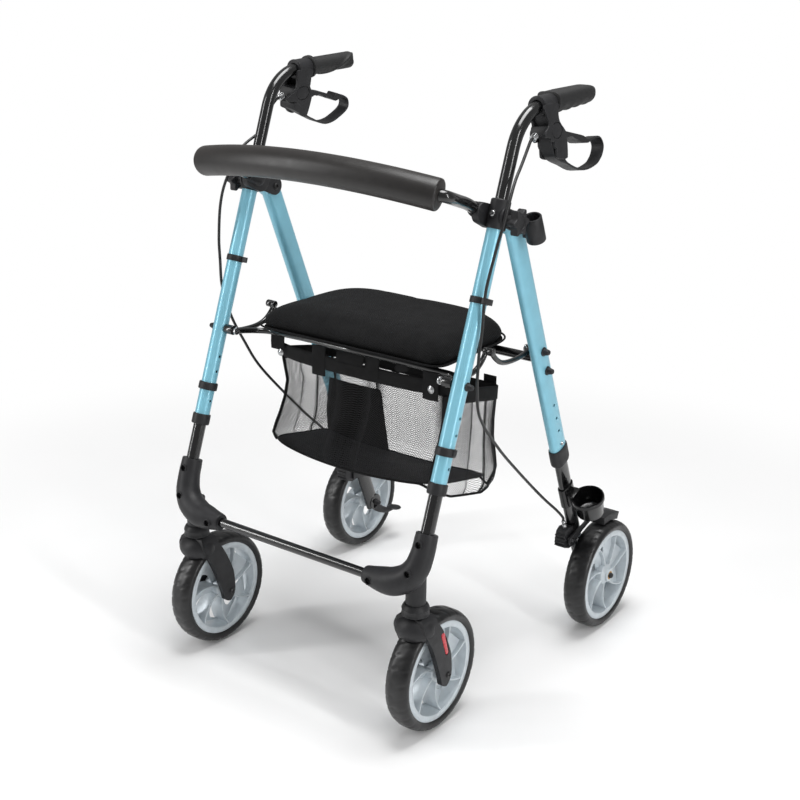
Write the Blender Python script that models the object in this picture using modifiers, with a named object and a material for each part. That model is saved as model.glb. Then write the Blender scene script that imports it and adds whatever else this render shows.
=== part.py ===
"""Four-wheel rollator with seat, basket, padded backrest, loop brakes, stick loop and stick cup.

Metres. X runs across and +X is the side of the stick cup. -Y is the front, Z is up and the floor is z = 0.
"""

import math

import bmesh
import bpy
from mathutils import Matrix, Vector

# Side frames: leg axes lie in the planes x = +-LEG_X and lean along Y as they rise
LEG_X = 0.245
FRONT_FOOT_Y = -0.2449
FRONT_FOOT_Z = 0.4248
FRONT_LEAN = 0.359
REAR_FOOT_Y = 0.2295
REAR_FOOT_Z = 0.100
REAR_LEAN = -0.427

# Front leg, round tube
FRONT_LEG_R = 0.0127
FRONT_BORE_R = 0.0111
FRONT_LEG_Z = (0.412, 0.826)
FRONT_HOLE_Z = (0.5197, 0.4953, 0.4702, 0.4470)
HOLE_R = 0.0026

# Rear leg, oval tube: half depth in the side plane, half width across
REAR_LEG_OVAL = (0.0190, 0.0100)
REAR_BORE_OVAL = (0.0163, 0.0080)
LOWER_LEG_OVAL = (0.0155, 0.0075)
REAR_LEG_Z = (0.352, 0.798)
REAR_BORE_TOP_Z = 0.478
REAR_HOLE_Z = (0.462, 0.436, 0.411)
BUTTON_Z = 0.3845
LOWER_LEG_Z = (0.092, 0.428)

# Pivots in the side planes, as (y, z)
FOLD_PIVOT = (-0.0651, 0.7900)
SEAT_PIVOT = (-0.1944, 0.5656)
LINK_REAR = (0.0305, 0.5660)
LINK_MID = (-0.0865, 0.5880)
CROSS_TUBE = (0.0375, 0.5500)
KNOB = (-0.1065, 0.8020)

# Wheels
WHEEL_R = 0.100
TYRE_DEPTH = 0.0165
TYRE_HALF_WIDTH = 0.0213
RIM_R = WHEEL_R - TYRE_DEPTH
RIM_WALL = 0.0100
SHOE_GAP = 0.0026
REAR_WHEEL = (0.279, 0.2335, 0.100)
FRONT_WHEEL = (0.232, -0.2335, 0.100)
STEM = (0.2326, -0.2802)
CROWN_Z = FRONT_WHEEL[2] + WHEEL_R + 0.0168
SPOKES = 7

# Front lower frame
INNER_TUBE_R = 0.01075
CROSS_BAR_R = 0.00775
CROSS_BAR_Z = 0.268

# Handles: the left one is drawn out further than the right one
HANDLE_R = 0.0100
HANDLE_FOOT_Z = 0.660
HANDLE_BEND_R = 0.085
HANDLE_CORNER = (-0.0469, 0.9764)
GRIP_RISE = 0.0487
HANDLE_DROP = {"left": 0.0, "right": 0.0225}
GRIP_Y = (0.0470, 0.1700)
BRAKE_TILT = math.radians(8)
LEVER_TURN = {"left": math.radians(2.5), "right": math.radians(-2.5)}
LEVER_PIVOT = (0.0090, 0.0400)

GAP = 0.0003
SIDES = {"left": -1, "right": 1}

# Material kinds: base colour (linear), metallic, roughness
KINDS = {
    "blue_paint": ((0.26, 0.58, 0.68, 1), 0.3, 0.35),
    "black_paint": ((0.012, 0.012, 0.013, 1), 0.0, 0.25),
    "black_plastic": ((0.030, 0.030, 0.032, 1), 0.0, 0.55),
    "silver_plastic": ((0.50, 0.54, 0.58, 1), 0.2, 0.35),
    "steel": ((0.60, 0.60, 0.60, 1), 1.0, 0.30),
    "rubber": ((0.020, 0.020, 0.020, 1), 0.0, 0.70),
    "foam": ((0.025, 0.024, 0.023, 1), 0.0, 0.60),
    "fabric": ((0.012, 0.012, 0.013, 1), 0.0, 0.90),
}


# Scene and basic tools


def clear_scene():
    for obj in list(bpy.data.objects):
        bpy.data.objects.remove(obj, do_unlink=True)


def new_collection(name, hidden=False):
    collection = bpy.data.collections.new(name)
    collection.hide_render = hidden
    bpy.context.scene.collection.children.link(collection)
    return collection


def material_for(name, kind):
    colour, metallic, roughness = KINDS[kind]
    material = bpy.data.materials.new(name + "_" + kind)
    material.use_nodes = True
    shader = material.node_tree.nodes["Principled BSDF"]
    shader.inputs["Base Color"].default_value = colour
    shader.inputs["Metallic"].default_value = metallic
    shader.inputs["Roughness"].default_value = roughness
    return material


def front_axis(z):
    return Vector((0.0, FRONT_FOOT_Y + FRONT_LEAN * (z - FRONT_FOOT_Z), z))


def rear_axis(z):
    return Vector((0.0, REAR_FOOT_Y + REAR_LEAN * (z - REAR_FOOT_Z), z))


FRONT_UP = Vector((0.0, FRONT_LEAN, 1.0)).normalized()
REAR_UP = Vector((0.0, REAR_LEAN, 1.0)).normalized()
ACROSS = Vector((1.0, 0.0, 0.0))


def on_side(point, side, out=0.0):
    """The point of a side plane, moved outwards by out."""
    return Vector((SIDES[side] * (LEG_X + out), point[-2], point[-1]))


def along(origin, direction):
    """A frame whose Z runs along the direction and whose X stays across the object where it can."""
    up = Vector(direction).normalized()
    across = ACROSS if abs(up.x) < 0.9 else Vector((0.0, 1.0, 0.0))
    depth = up.cross(across).normalized()
    across = depth.cross(up)
    turn = Matrix((across, depth, up)).transposed().to_4x4()
    return Matrix.Translation(origin) @ turn


def shape(mesh, matrix=None):
    """A helper object that other solids are cut from or joined with."""
    obj = bpy.data.objects.new("shape", mesh)
    if matrix is not None:
        mesh.transform(matrix)
    helpers.objects.link(obj)
    obj.display_type = "WIRE"
    obj.hide_render = True
    return obj


def shape_from(bm, matrix=None):
    bmesh.ops.recalc_face_normals(bm, faces=bm.faces)
    mesh = bpy.data.meshes.new("shape")
    bm.to_mesh(mesh)
    bm.free()
    return shape(mesh, matrix)


def meshed(obj, matrix=None):
    """The mesh that a curve or a modifier stack makes, as a helper of its own."""
    bpy.context.view_layer.update()
    graph = bpy.context.evaluated_depsgraph_get()
    mesh = bpy.data.meshes.new_from_object(obj.evaluated_get(graph))
    bpy.data.objects.remove(obj, do_unlink=True)
    bm = bmesh.new()
    bm.from_mesh(mesh)
    bmesh.ops.remove_doubles(bm, verts=bm.verts, dist=0.00001)
    bmesh.ops.recalc_face_normals(bm, faces=bm.faces)
    bm.to_mesh(mesh)
    bm.free()
    return shape(mesh, matrix)


def rod(start, end, radius, end_radius=None, sides=12):
    """A cylinder, or a cone where end_radius is given."""
    start, end = Vector(start), Vector(end)
    bm = bmesh.new()
    bmesh.ops.create_cone(
        bm,
        cap_ends=True,
        segments=sides,
        radius1=radius,
        radius2=radius if end_radius is None else end_radius,
        depth=(end - start).length,
    )
    return shape_from(bm, along((start + end) / 2, end - start))


def block(low, high, matrix=None, bevel=0.0):
    """A box between two corners, with its edges bevelled."""
    size = [b - a for a, b in zip(low, high)]
    middle = [(a + b) / 2 for a, b in zip(low, high)]
    bm = bmesh.new()
    bmesh.ops.create_cube(bm, size=1.0)
    bmesh.ops.scale(bm, vec=size, verts=bm.verts)
    bmesh.ops.translate(bm, vec=middle, verts=bm.verts)
    if bevel:
        bmesh.ops.bevel(bm, geom=bm.edges[:], offset=bevel, segments=1, affect="EDGES")
    return shape_from(bm, matrix)


def extruded(outline, step):
    """A flat outline of points given a thickness by the step."""
    bm = bmesh.new()
    face = bm.faces.new([bm.verts.new(point) for point in outline])
    grown = bmesh.ops.extrude_face_region(bm, geom=[face])
    moved = [item for item in grown["geom"] if isinstance(item, bmesh.types.BMVert)]
    bmesh.ops.translate(bm, vec=step, verts=moved)
    return shape_from(bm)


def side_plate(outline, x_from, x_to):
    """A plate in a side plane: (y, z) outline between two x positions."""
    points = [(x_from, y, z) for y, z in outline]
    return extruded(points, (x_to - x_from, 0.0, 0.0))


def oval_bar(start, end, oval, sides=12):
    """A bar of oval section in a side plane, with slightly flattened flanks."""
    half_depth, half_width = oval
    matrix = along(start, Vector(end) - Vector(start))
    points = []
    for i in range(sides):
        angle = 2 * math.pi * i / sides
        c, s = math.cos(angle), math.sin(angle)
        x = half_width * math.copysign(abs(c) ** 0.8, c)
        y = half_depth * math.copysign(abs(s) ** 0.8, s)
        points.append(matrix @ Vector((x, y, 0.0)))
    return extruded(points, Vector(end) - Vector(start))


def lathe(profile, origin, axis, steps=32, ring=False):
    """A profile of (radius, height) turned about the axis. Its outer side runs from top to bottom."""
    bm = bmesh.new()
    points = [bm.verts.new((radius, 0.0, height)) for radius, height in profile]
    for a, b in zip(points, points[1:]):
        bm.edges.new((a, b))
    if ring:
        bm.edges.new((points[-1], points[0]))
    mesh = bpy.data.meshes.new("profile")
    bm.to_mesh(mesh)
    bm.free()
    obj = bpy.data.objects.new("profile", mesh)
    helpers.objects.link(obj)
    turned = obj.modifiers.new("turned", "SCREW")
    turned.steps = steps
    turned.render_steps = steps
    turned.use_merge_vertices = True
    turned.merge_threshold = 0.00001
    return meshed(obj, along(origin, axis))


def tube(points, radius, sides=12, radii=None):
    """A round tube along the points, filled at its ends. Radii are factors, one for each point."""
    curve = bpy.data.curves.new("path", "CURVE")
    curve.dimensions = "3D"
    curve.bevel_depth = radius
    curve.bevel_resolution = (sides - 4) // 2
    curve.use_fill_caps = True
    spline = curve.splines.new("POLY")
    spline.points.add(len(points) - 1)
    for i, point in enumerate(points):
        spline.points[i].co = (*point, 1.0)
        spline.points[i].radius = radii[i] if radii else 1.0
    obj = bpy.data.objects.new("path", curve)
    helpers.objects.link(obj)
    return meshed(obj)


def smooth_path(points, steps):
    """Points on a smooth curve through the given ones."""
    points = [Vector(point) for point in points]
    padded = [2 * points[0] - points[1], *points, 2 * points[-1] - points[-2]]
    path = []
    for a, b, c, d in zip(padded, padded[1:], padded[2:], padded[3:]):
        for i in range(steps):
            t = i / steps
            path.append(
                0.5
                * (
                    2 * b
                    + (c - a) * t
                    + (2 * a - 5 * b + 4 * c - d) * t**2
                    + (3 * b - a - 3 * c + d) * t**3
                )
            )
    path.append(points[-1])
    return path


def circle(centre, radius, start, end, count):
    """Points (y, z) on an arc, with angles in degrees from +Y towards +Z."""
    angles = [math.radians(start + (end - start) * i / count) for i in range(count + 1)]
    return [(centre[0] + radius * math.cos(a), centre[1] + radius * math.sin(a)) for a in angles]


def stadium(first, second, first_r, second_r, count=5):
    """Outline (y, z) round two circles."""
    direction = math.degrees(math.atan2(second[1] - first[1], second[0] - first[0]))
    outline = circle(first, first_r, direction + 90, direction + 270, count)
    return outline + circle(second, second_r, direction - 90, direction + 90, count)


def part(name, kind, base, *steps, origin=(0.0, 0.0, 0.0)):
    """A named piece: the base shape, joined with and cut by further shapes in turn."""
    helpers.objects.unlink(base)
    parts.objects.link(base)
    base.name = name
    base.data.name = name
    base.hide_render = False
    base.display_type = "TEXTURED"
    base.data.transform(Matrix.Translation(-Vector(origin)))
    base.location = origin
    base.data.materials.append(material_for(name, kind))
    for operation, other in steps:
        boolean = base.modifiers.new(operation.lower(), "BOOLEAN")
        boolean.operation = operation
        boolean.solver = "EXACT"
        boolean.object = other
        other.name = name + "_" + operation.lower()
    base.data.shade_smooth()
    base.data.set_sharp_from_angle(angle=math.radians(35))
    return base


def add(*others):
    return [("UNION", other) for other in others]


def cut(*others):
    return [("DIFFERENCE", other) for other in others]


# Frame that stays still


def make_front_leg(side):
    bottom = on_side(front_axis(FRONT_LEG_Z[0]), side)
    top = on_side(front_axis(FRONT_LEG_Z[1]), side)
    body = rod(bottom, top, FRONT_LEG_R, sides=16)
    bore = rod(bottom - FRONT_UP * 0.01, top + FRONT_UP * 0.01, FRONT_BORE_R, sides=16)
    holes = []
    for z in FRONT_HOLE_Z:
        centre = on_side(front_axis(z), side)
        holes.append(rod(centre + ACROSS * 0.004, centre + ACROSS * 0.016, HOLE_R, sides=6))
    # Seat pivot bolt through the leg, head inside and domed nut outside
    bolt = rod(on_side(SEAT_PIVOT, side, -0.036), on_side(SEAT_PIVOT, side, 0.014), 0.004, sides=10)
    head = rod(on_side(SEAT_PIVOT, side, -0.0385), on_side(SEAT_PIVOT, side, -0.035), 0.0065, sides=10)
    nut = rod(on_side(SEAT_PIVOT, side, 0.0118), on_side(SEAT_PIVOT, side, 0.0265), 0.0085, 0.005, sides=12)
    part("front_leg_" + side, "blue_paint", body, *cut(bore, *holes), *add(bolt, head, nut))


def make_top_bracket(side):
    sign = SIDES[side]
    low, high = on_side(front_axis(0.788), side), on_side(front_axis(0.830), side)
    sleeve = rod(low, high, 0.0154, sides=16)
    bore = rod(
        low - FRONT_UP * 0.01,
        on_side(front_axis(FRONT_LEG_Z[1] + 0.0004), side),
        FRONT_LEG_R + GAP,
        sides=16,
    )
    throat = rod(low, high + FRONT_UP * 0.01, HANDLE_R + 0.0008, sides=12)
    # Cheeks on both sides of the rear leg, and the fold pivot bolt through them
    near = (-0.1080, 0.8065)
    cheek = stadium(near, FOLD_PIVOT, 0.0145, 0.0155)
    inner = side_plate(cheek, sign * 0.2297, sign * 0.2335)
    outer = side_plate(cheek, sign * 0.2565, sign * 0.2603)
    bolt = rod(on_side(FOLD_PIVOT, side, -0.0185), on_side(FOLD_PIVOT, side, 0.0153), 0.004, sides=8)
    # Lug on the inner side that holds the end of the backrest tube
    lug_front, lug_back = Vector((0.2215, -0.1330, 0.8174)), Vector((0.2215, -0.1020, 0.8017))
    lug_front.x *= sign
    lug_back.x *= sign
    lug = rod(lug_front, lug_back, 0.0125)
    web = side_plate(stadium((-0.1290, 0.8130), (-0.1080, 0.8050), 0.016, 0.018), sign * 0.2215, sign * 0.2335)
    socket = tube([mirrored(point, sign) for point in backrest_path()[:7]], 0.0095, sides=10)
    part(
        "top_bracket_" + side,
        "black_plastic",
        sleeve,
        *add(inner, outer, lug, web),
        *cut(bore, throat, socket),
        *add(bolt),
    )


def mirrored(point, sign):
    return Vector((sign * point[0], point[1], point[2]))


def make_front_leg_collar(side):
    base = on_side(front_axis(0.408), side)
    profile = [
        (0.0130, 0.018),
        (0.0148, 0.018),
        (0.0148, 0.0),
        (0.0112, 0.0),
        (0.0112, 0.0040),
        (0.0130, 0.0040),
    ]
    ring = lathe(profile, base, FRONT_UP, steps=16, ring=True)
    part("front_leg_collar_" + side, "black_plastic", ring)


def make_front_lock_ring(side):
    base = on_side(front_axis(0.464), side)
    profile = [
        (0.0130, 0.013),
        (0.0158, 0.0125),
        (0.0158, 0.0005),
        (0.0130, 0.0),
    ]
    ring = lathe(profile, base, FRONT_UP, steps=16, ring=True)
    part("front_lock_ring_" + side, "black_plastic", ring)


def backrest_path():
    """Centre line of the right half of the backrest tube, from its end in the bracket to the middle."""
    ends = [
        (0.2215, -0.1130, 0.8073),
        (0.2220, -0.1330, 0.8174),
        (0.2245, -0.1600, 0.8300),
        (0.2285, -0.1900, 0.8395),
        (0.2340, -0.2150, 0.8470),
        (0.2345, -0.2290, 0.8515),
        (0.2240, -0.2360, 0.8540),
    ]
    path = smooth_path(ends, 2)[:-1]
    count = 5
    for i in range(count + 1):
        x = 0.2240 * (1 - i / count)
        path.append(Vector((x, *backrest_bow(x))))
    return path


def backrest_bow(x):
    share = 1 - (x / 0.2311) ** 2
    return -0.2334 - 0.0301 * share, 0.8527 + 0.0203 * share


def make_backrest_tube():
    half = backrest_path()
    whole = half + [mirrored(point, -1) for point in reversed(half[:-1])]
    part("backrest_tube", "black_paint", tube(whole, 0.0092, sides=10))


def make_backrest_pad():
    count = 8
    points = []
    for i in range(count + 1):
        x = -0.2311 + 0.4622 * i / count
        points.append((x, *backrest_bow(x)))
    radii = [0.93, 1.0] + [1.0] * (count - 3) + [1.0, 0.93]
    points[1] = (-0.2250, *backrest_bow(0.2250))
    points[-2] = (0.2250, *backrest_bow(0.2250))
    body = tube(points, 0.0240, sides=14, radii=radii)
    half = backrest_path()
    whole = half + [mirrored(point, -1) for point in reversed(half[:-1])]
    part("backrest_pad", "foam", body, *cut(tube(whole, 0.0096, sides=10)))


def make_stick_loop():
    """Oval loop on the outer side of the right bracket, open from top to bottom."""
    axis_low = Vector((0.2790, -0.0585, 0.7850)) - REAR_UP * 0.021
    profile = [
        (0.0112, 0.042),
        (0.0145, 0.042),
        (0.0150, 0.0),
        (0.0112, 0.0),
    ]
    ring = lathe(profile, axis_low, REAR_UP, steps=20, ring=True)
    foot_matrix = along(Vector((0.2790, -0.0585, 0.7850)), REAR_UP)
    foot = block((-0.0182, -0.009, -0.014), (-0.0120, 0.009, 0.014), foot_matrix)
    part("stick_loop", "black_plastic", ring, *add(foot))


# Basket


BASKET_POINTS = 28


def basket_ring(level, inset):
    """One level of the basket wall: 0 is the floor and 1 the rim."""
    half_x = 0.180 - 0.008 * level - inset
    front = -0.1310 - 0.0060 * level + inset
    rear = 0.0060 + 0.0190 * level - inset
    points = []
    for i in range(BASKET_POINTS):
        angle = 2 * math.pi * (i + 0.5) / BASKET_POINTS
        c, s = math.cos(angle), math.sin(angle)
        u = math.copysign(abs(c) ** 0.28, c)
        v = math.copysign(abs(s) ** 0.28, s)
        x = half_x * u
        y = (front + rear) / 2 + (rear - front) / 2 * v
        floor_z = 0.3403 - 0.146 * (y - 0.006)
        if v < 0:
            bow = 1 - min(1.0, abs(x) / half_x) ** 2
            y -= (0.020 - 0.010 * level) * bow * abs(v)
            floor_z -= 0.008 * bow * abs(v)
        rim_z = basket_rim(y)
        points.append((x, y, floor_z + level * (rim_z - floor_z)))
    return points


def basket_rim(y):
    knots = [(-0.160, 0.541), (-0.134, 0.541), (-0.108, 0.524), (-0.080, 0.511), (0.030, 0.503)]
    for (y0, z0), (y1, z1) in zip(knots, knots[1:]):
        if y <= y1:
            return z0 + (z1 - z0) * max(0.0, y - y0) / (y1 - y0)
    return knots[-1][1]


def make_basket():
    wall, floor = 0.0016, 0.0020
    levels = [0.0, 0.06, 0.5, 0.9, 1.0]
    bm = bmesh.new()
    rings = []
    for level in levels:
        inset = 0.006 if level == 0.0 else 0.0
        rings.append(basket_ring(level, inset))
    for level in reversed(levels):
        inset = 0.006 if level == 0.0 else 0.0
        ring = basket_ring(level, inset + wall)
        lift = floor if level < 0.1 else 0.0
        rings.append([(x, y, z + lift) for x, y, z in ring])
    loops = [[bm.verts.new(point) for point in ring] for ring in rings]
    for lower, upper in zip(loops, loops[1:]):
        for i in range(BASKET_POINTS):
            j = (i + 1) % BASKET_POINTS
            bm.faces.new((lower[i], lower[j], upper[j], upper[i]))
    for loop in (loops[0], loops[-1]):
        middle = bm.verts.new(sum((vert.co for vert in loop), Vector()) / BASKET_POINTS)
        for i in range(BASKET_POINTS):
            bm.faces.new((loop[i], loop[(i + 1) % BASKET_POINTS], middle))
    # Two webbing straps that run up to the front bail of the seat frame
    straps = [
        block((-0.0830, -0.1451, 0.5300), (-0.0545, -0.1431, 0.5552)),
        block((0.0285, -0.1451, 0.5300), (0.0565, -0.1431, 0.5564)),
    ]
    part("basket", "fabric", shape_from(bm), *add(*straps))


# Handles


def handle_shift(side):
    return -FRONT_UP * HANDLE_DROP[side]


def grip_axis_z(side):
    """Height of the grip axis at y = 0."""
    shift = handle_shift(side)
    corner_y, corner_z = HANDLE_CORNER
    return corner_z + shift.z - GRIP_RISE * (corner_y + shift.y)


def grip_point(side, y):
    return on_side((y, grip_axis_z(side) + GRIP_RISE * y), side)


def handle_path(side, end_y):
    shift = handle_shift(side)
    corner = on_side(HANDLE_CORNER, side) + shift
    back = Vector((0.0, 1.0, GRIP_RISE)).normalized()
    half_turn = FRONT_UP.angle(back) / 2
    reach = HANDLE_BEND_R * math.tan(half_turn)
    start = corner - FRONT_UP * reach
    normal = (back - FRONT_UP * FRONT_UP.dot(back)).normalized()
    centre = start + normal * HANDLE_BEND_R
    points = [on_side(front_axis(HANDLE_FOOT_Z + shift.z), side)]
    count = 6
    for i in range(count + 1):
        angle = 2 * half_turn * i / count
        points.append(
            centre - normal * HANDLE_BEND_R * math.cos(angle) + FRONT_UP * HANDLE_BEND_R * math.sin(angle)
        )
    points.append(grip_point(side, end_y))
    return points


def make_handle_tube(side):
    part("handle_tube_" + side, "black_paint", tube(handle_path(side, 0.150), HANDLE_R, sides=12))


def make_grip(side):
    start = grip_point(side, GRIP_Y[0])
    length = GRIP_Y[1] - GRIP_Y[0]
    back = Vector((0.0, 1.0, GRIP_RISE))
    bore = HANDLE_R + GAP
    profile = [
        (0.0, length),
        (bore + 0.0012, length),
        (bore + 0.0045, length - 0.004),
        (bore + 0.0055, length - 0.020),
        (bore + 0.0049, length * 0.55),
        (bore + 0.0059, length * 0.25),
        (bore + 0.0057, 0.006),
        (bore + 0.0087, 0.005),
        (bore + 0.0087, 0.0),
        (bore, 0.0),
        (bore, 0.110),
        (0.0, 0.110),
    ]
    part("grip_" + side, "rubber", lathe(profile, start, back, steps=12))


def brake_frame(side):
    """Frame of the brake assembly: origin on the grip axis at y = 0, tilted outwards about it."""
    tilt = Matrix.Rotation(-SIDES[side] * BRAKE_TILT, 4, "Y")
    return Matrix.Translation(on_side((0.0, grip_axis_z(side)), side)) @ tilt


def brake_plate(side, outline, x_from, x_to):
    """A plate in the brake frame from (y, depth below the grip axis) points."""
    obj = side_plate([(y, -depth) for y, depth in outline], x_from, x_to)
    obj.data.transform(brake_frame(side))
    return obj


def brake_rod(side, y, depth, x_from, x_to, radius, sides=12):
    obj = rod((x_from, y, -depth), (x_to, y, -depth), radius, sides=sides)
    obj.data.transform(brake_frame(side))
    return obj


def make_brake_housing(side):
    cheek = [
        (-0.012, 0.002),
        (0.036, 0.002),
        (0.034, 0.014),
        (0.027, 0.026),
        (0.028, 0.036),
        (0.030, 0.046),
        (0.018, 0.074),
        (0.008, 0.079),
        (-0.010, 0.073),
        (-0.036, 0.061),
        (-0.038, 0.053),
        (-0.016, 0.048),
        (-0.014, 0.034),
        (-0.008, 0.022),
    ]
    frame = brake_frame(side)
    back = Vector((0.0, 1.0, GRIP_RISE)).normalized()
    clamp = rod(
        grip_point(side, 0.013) - back * 0.027,
        grip_point(side, 0.013) + back * 0.031,
        0.0150,
        sides=16,
    )
    bore = tube(handle_path(side, 0.150), HANDLE_R + GAP, sides=12)
    left_cheek = brake_plate(side, cheek, -0.0195, -0.0150)
    right_cheek = brake_plate(side, cheek, 0.0150, 0.0195)
    yoke_outline = [(-0.012, 0.004), (0.034, 0.004), (0.031, 0.018), (-0.006, 0.022)]
    yoke = brake_plate(side, yoke_outline, -0.0160, 0.0160)
    nose_outline = [(-0.026, 0.036), (-0.022, 0.029), (-0.009, 0.027), (-0.0095, 0.046), (-0.024, 0.047)]
    nose = brake_plate(side, nose_outline, -0.0155, 0.0155)
    bridge_outline = [(-0.036, 0.055), (-0.018, 0.0505), (-0.016, 0.056), (-0.034, 0.060)]
    bridge = brake_plate(side, bridge_outline, -0.0160, 0.0160)
    pin = brake_rod(side, *LEVER_PIVOT, -0.0195, 0.0195, 0.0030, sides=8)
    adjuster = rod((0.0, -0.014, -0.040), (0.0, -0.0284, -0.0457), 0.0036, sides=8)
    adjuster.data.transform(frame)
    part(
        "brake_housing_" + side,
        "black_plastic",
        clamp,
        *add(left_cheek, right_cheek, yoke, nose, bridge),
        *cut(bore),
        *add(pin, adjuster),
    )


def make_brake_lever(side):
    """Flat lever body between the housing cheeks that runs out into a closed hand loop."""
    outer = [
        (0.000, 0.0400),
        (0.004, 0.0335),
        (0.014, 0.0335),
        (0.049, 0.0435),
        (0.083, 0.0490),
        (0.110, 0.0590),
        (0.120, 0.0540),
        (0.150, 0.0605),
        (0.1590, 0.0670),
        (0.1610, 0.0760),
        (0.1540, 0.0880),
        (0.1360, 0.0985),
        (0.1120, 0.1045),
        (0.0850, 0.1055),
        (0.0600, 0.0990),
        (0.0300, 0.0850),
        (0.010, 0.0745),
        (-0.0035, 0.0640),
        (-0.0030, 0.0500),
    ]
    inner = [
        (0.0330, 0.0480),
        (0.0480, 0.0500),
        (0.0800, 0.0550),
        (0.1080, 0.0650),
        (0.1230, 0.0650),
        (0.1480, 0.0665),
        (0.1545, 0.0720),
        (0.1545, 0.0770),
        (0.1490, 0.0845),
        (0.1330, 0.0935),
        (0.1100, 0.0992),
        (0.0860, 0.1002),
        (0.0630, 0.0940),
        (0.0360, 0.0800),
        (0.0290, 0.0700),
    ]
    pivot = brake_frame(side) @ Vector((0.0, LEVER_PIVOT[0], -LEVER_PIVOT[1]))
    body = brake_plate(side, outer, -0.0110, 0.0110)
    window = brake_plate(side, inner, -0.0200, 0.0200)
    boss = brake_rod(side, *LEVER_PIVOT, -0.0145, 0.0145, 0.0075)
    hole = brake_rod(side, *LEVER_PIVOT, -0.0300, 0.0300, 0.0034, sides=12)
    turn = lever_turn(side)
    for obj in (body, window, boss, hole):
        obj.data.transform(turn)
    part("brake_lever_" + side, "black_plastic", body, *add(boss), *cut(window, hole), origin=pivot)


def lever_turn(side):
    """Rest turn of the lever about its pin: each hand lever hangs a little differently."""
    frame = brake_frame(side)
    pivot = frame @ Vector((0.0, LEVER_PIVOT[0], -LEVER_PIVOT[1]))
    axis = frame.to_3x3() @ ACROSS
    spin = Matrix.Rotation(LEVER_TURN[side], 4, axis)
    return Matrix.Translation(pivot) @ spin @ Matrix.Translation(-pivot)


def make_star_knob(side):
    """Six-lobed knob on the end of the handle clamp bolt."""
    outline = []
    for i in range(24):
        angle = 2 * math.pi * i / 24
        radius = 0.0180 + 0.0030 * math.cos(6 * angle)
        outline.append((KNOB[0] + radius * math.cos(angle), KNOB[1] + radius * math.sin(angle)))
    sign = SIDES[side]
    body = side_plate(outline, sign * 0.2735, sign * 0.2865)
    hub = rod(on_side(KNOB, side, 0.0155), on_side(KNOB, side, 0.030), 0.0090)
    part("star_knob_" + side, "black_plastic", body, *add(hub), origin=on_side(KNOB, side, 0.035))


# Rear frame


def make_rear_leg(side):
    sign = SIDES[side]
    low, high = on_side(rear_axis(REAR_LEG_Z[0]), side), on_side(rear_axis(REAR_LEG_Z[1]), side)
    body = oval_bar(low, high, REAR_LEG_OVAL)
    crown = rod(on_side(FOLD_PIVOT, side, -0.0095), on_side(FOLD_PIVOT, side, 0.0095), 0.0185, sides=16)
    bore = oval_bar(low - REAR_UP * 0.01, on_side(rear_axis(REAR_BORE_TOP_Z), side), REAR_BORE_OVAL)
    pivot = rod(on_side(FOLD_PIVOT, side, -0.02), on_side(FOLD_PIVOT, side, 0.02), 0.0044, sides=8)
    holes = []
    for z in REAR_HOLE_Z:
        centre = rear_axis(z)
        holes.append(rod(on_side(centre, side, 0.004), on_side(centre, side, 0.015), 0.0028, sides=6))
    centre = rear_axis(BUTTON_Z)
    holes.append(rod(on_side(centre, side, 0.004), on_side(centre, side, 0.015), 0.0036, sides=8))
    # Link pivot bolt with its inner head, and the domed nuts on the outer face
    bolt = rod(on_side(LINK_REAR, side, -0.0225), on_side(LINK_REAR, side, 0.004), 0.0040, sides=8)
    head = rod(on_side(LINK_REAR, side, -0.0248), on_side(LINK_REAR, side, -0.0216), 0.0065, sides=8)
    nuts = []
    for z in (LINK_REAR[1], 0.530):
        centre = rear_axis(z)
        nuts.append(rod(on_side(centre, side, 0.008), on_side(centre, side, 0.0210), 0.0075, 0.0035, sides=10))
    part(
        "rear_leg_" + side,
        "blue_paint",
        body,
        *add(crown),
        *cut(bore, pivot, *holes),
        *add(bolt, head, *nuts),
        origin=on_side(FOLD_PIVOT, side),
    )


def make_rear_leg_collar(side):
    low, mid, high = rear_axis(0.345), rear_axis(REAR_LEG_Z[0] - 0.0004), rear_axis(0.3755)
    body = oval_bar(on_side(low, side), on_side(high, side), (0.0212, 0.0122))
    socket = oval_bar(on_side(mid, side), on_side(high, side) + REAR_UP * 0.01, (0.0193, 0.0103))
    throat = oval_bar(on_side(low, side) - REAR_UP * 0.01, on_side(high, side), REAR_BORE_OVAL)
    part(
        "rear_leg_collar_" + side,
        "black_plastic",
        body,
        *cut(socket, throat),
        origin=on_side(FOLD_PIVOT, side),
    )


def make_rear_cross_tube():
    reach = LEG_X - REAR_LEG_OVAL[1] - GAP
    body = rod((-reach, *CROSS_TUBE), (reach, *CROSS_TUBE), 0.0075, sides=16)
    part("rear_cross_tube", "black_paint", body, origin=(0.0, *FOLD_PIVOT))


def make_side_link(side):
    sign = SIDES[side]
    body = side_plate(stadium(LINK_REAR, LINK_MID, 0.0085, 0.0085), sign * 0.2240, sign * 0.2345)
    hole = rod(on_side(LINK_REAR, side, -0.03), on_side(LINK_REAR, side, 0.0), 0.0044, sides=10)
    part("side_link_" + side, "black_plastic", body, *cut(hole), origin=on_side(LINK_REAR, side))


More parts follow.
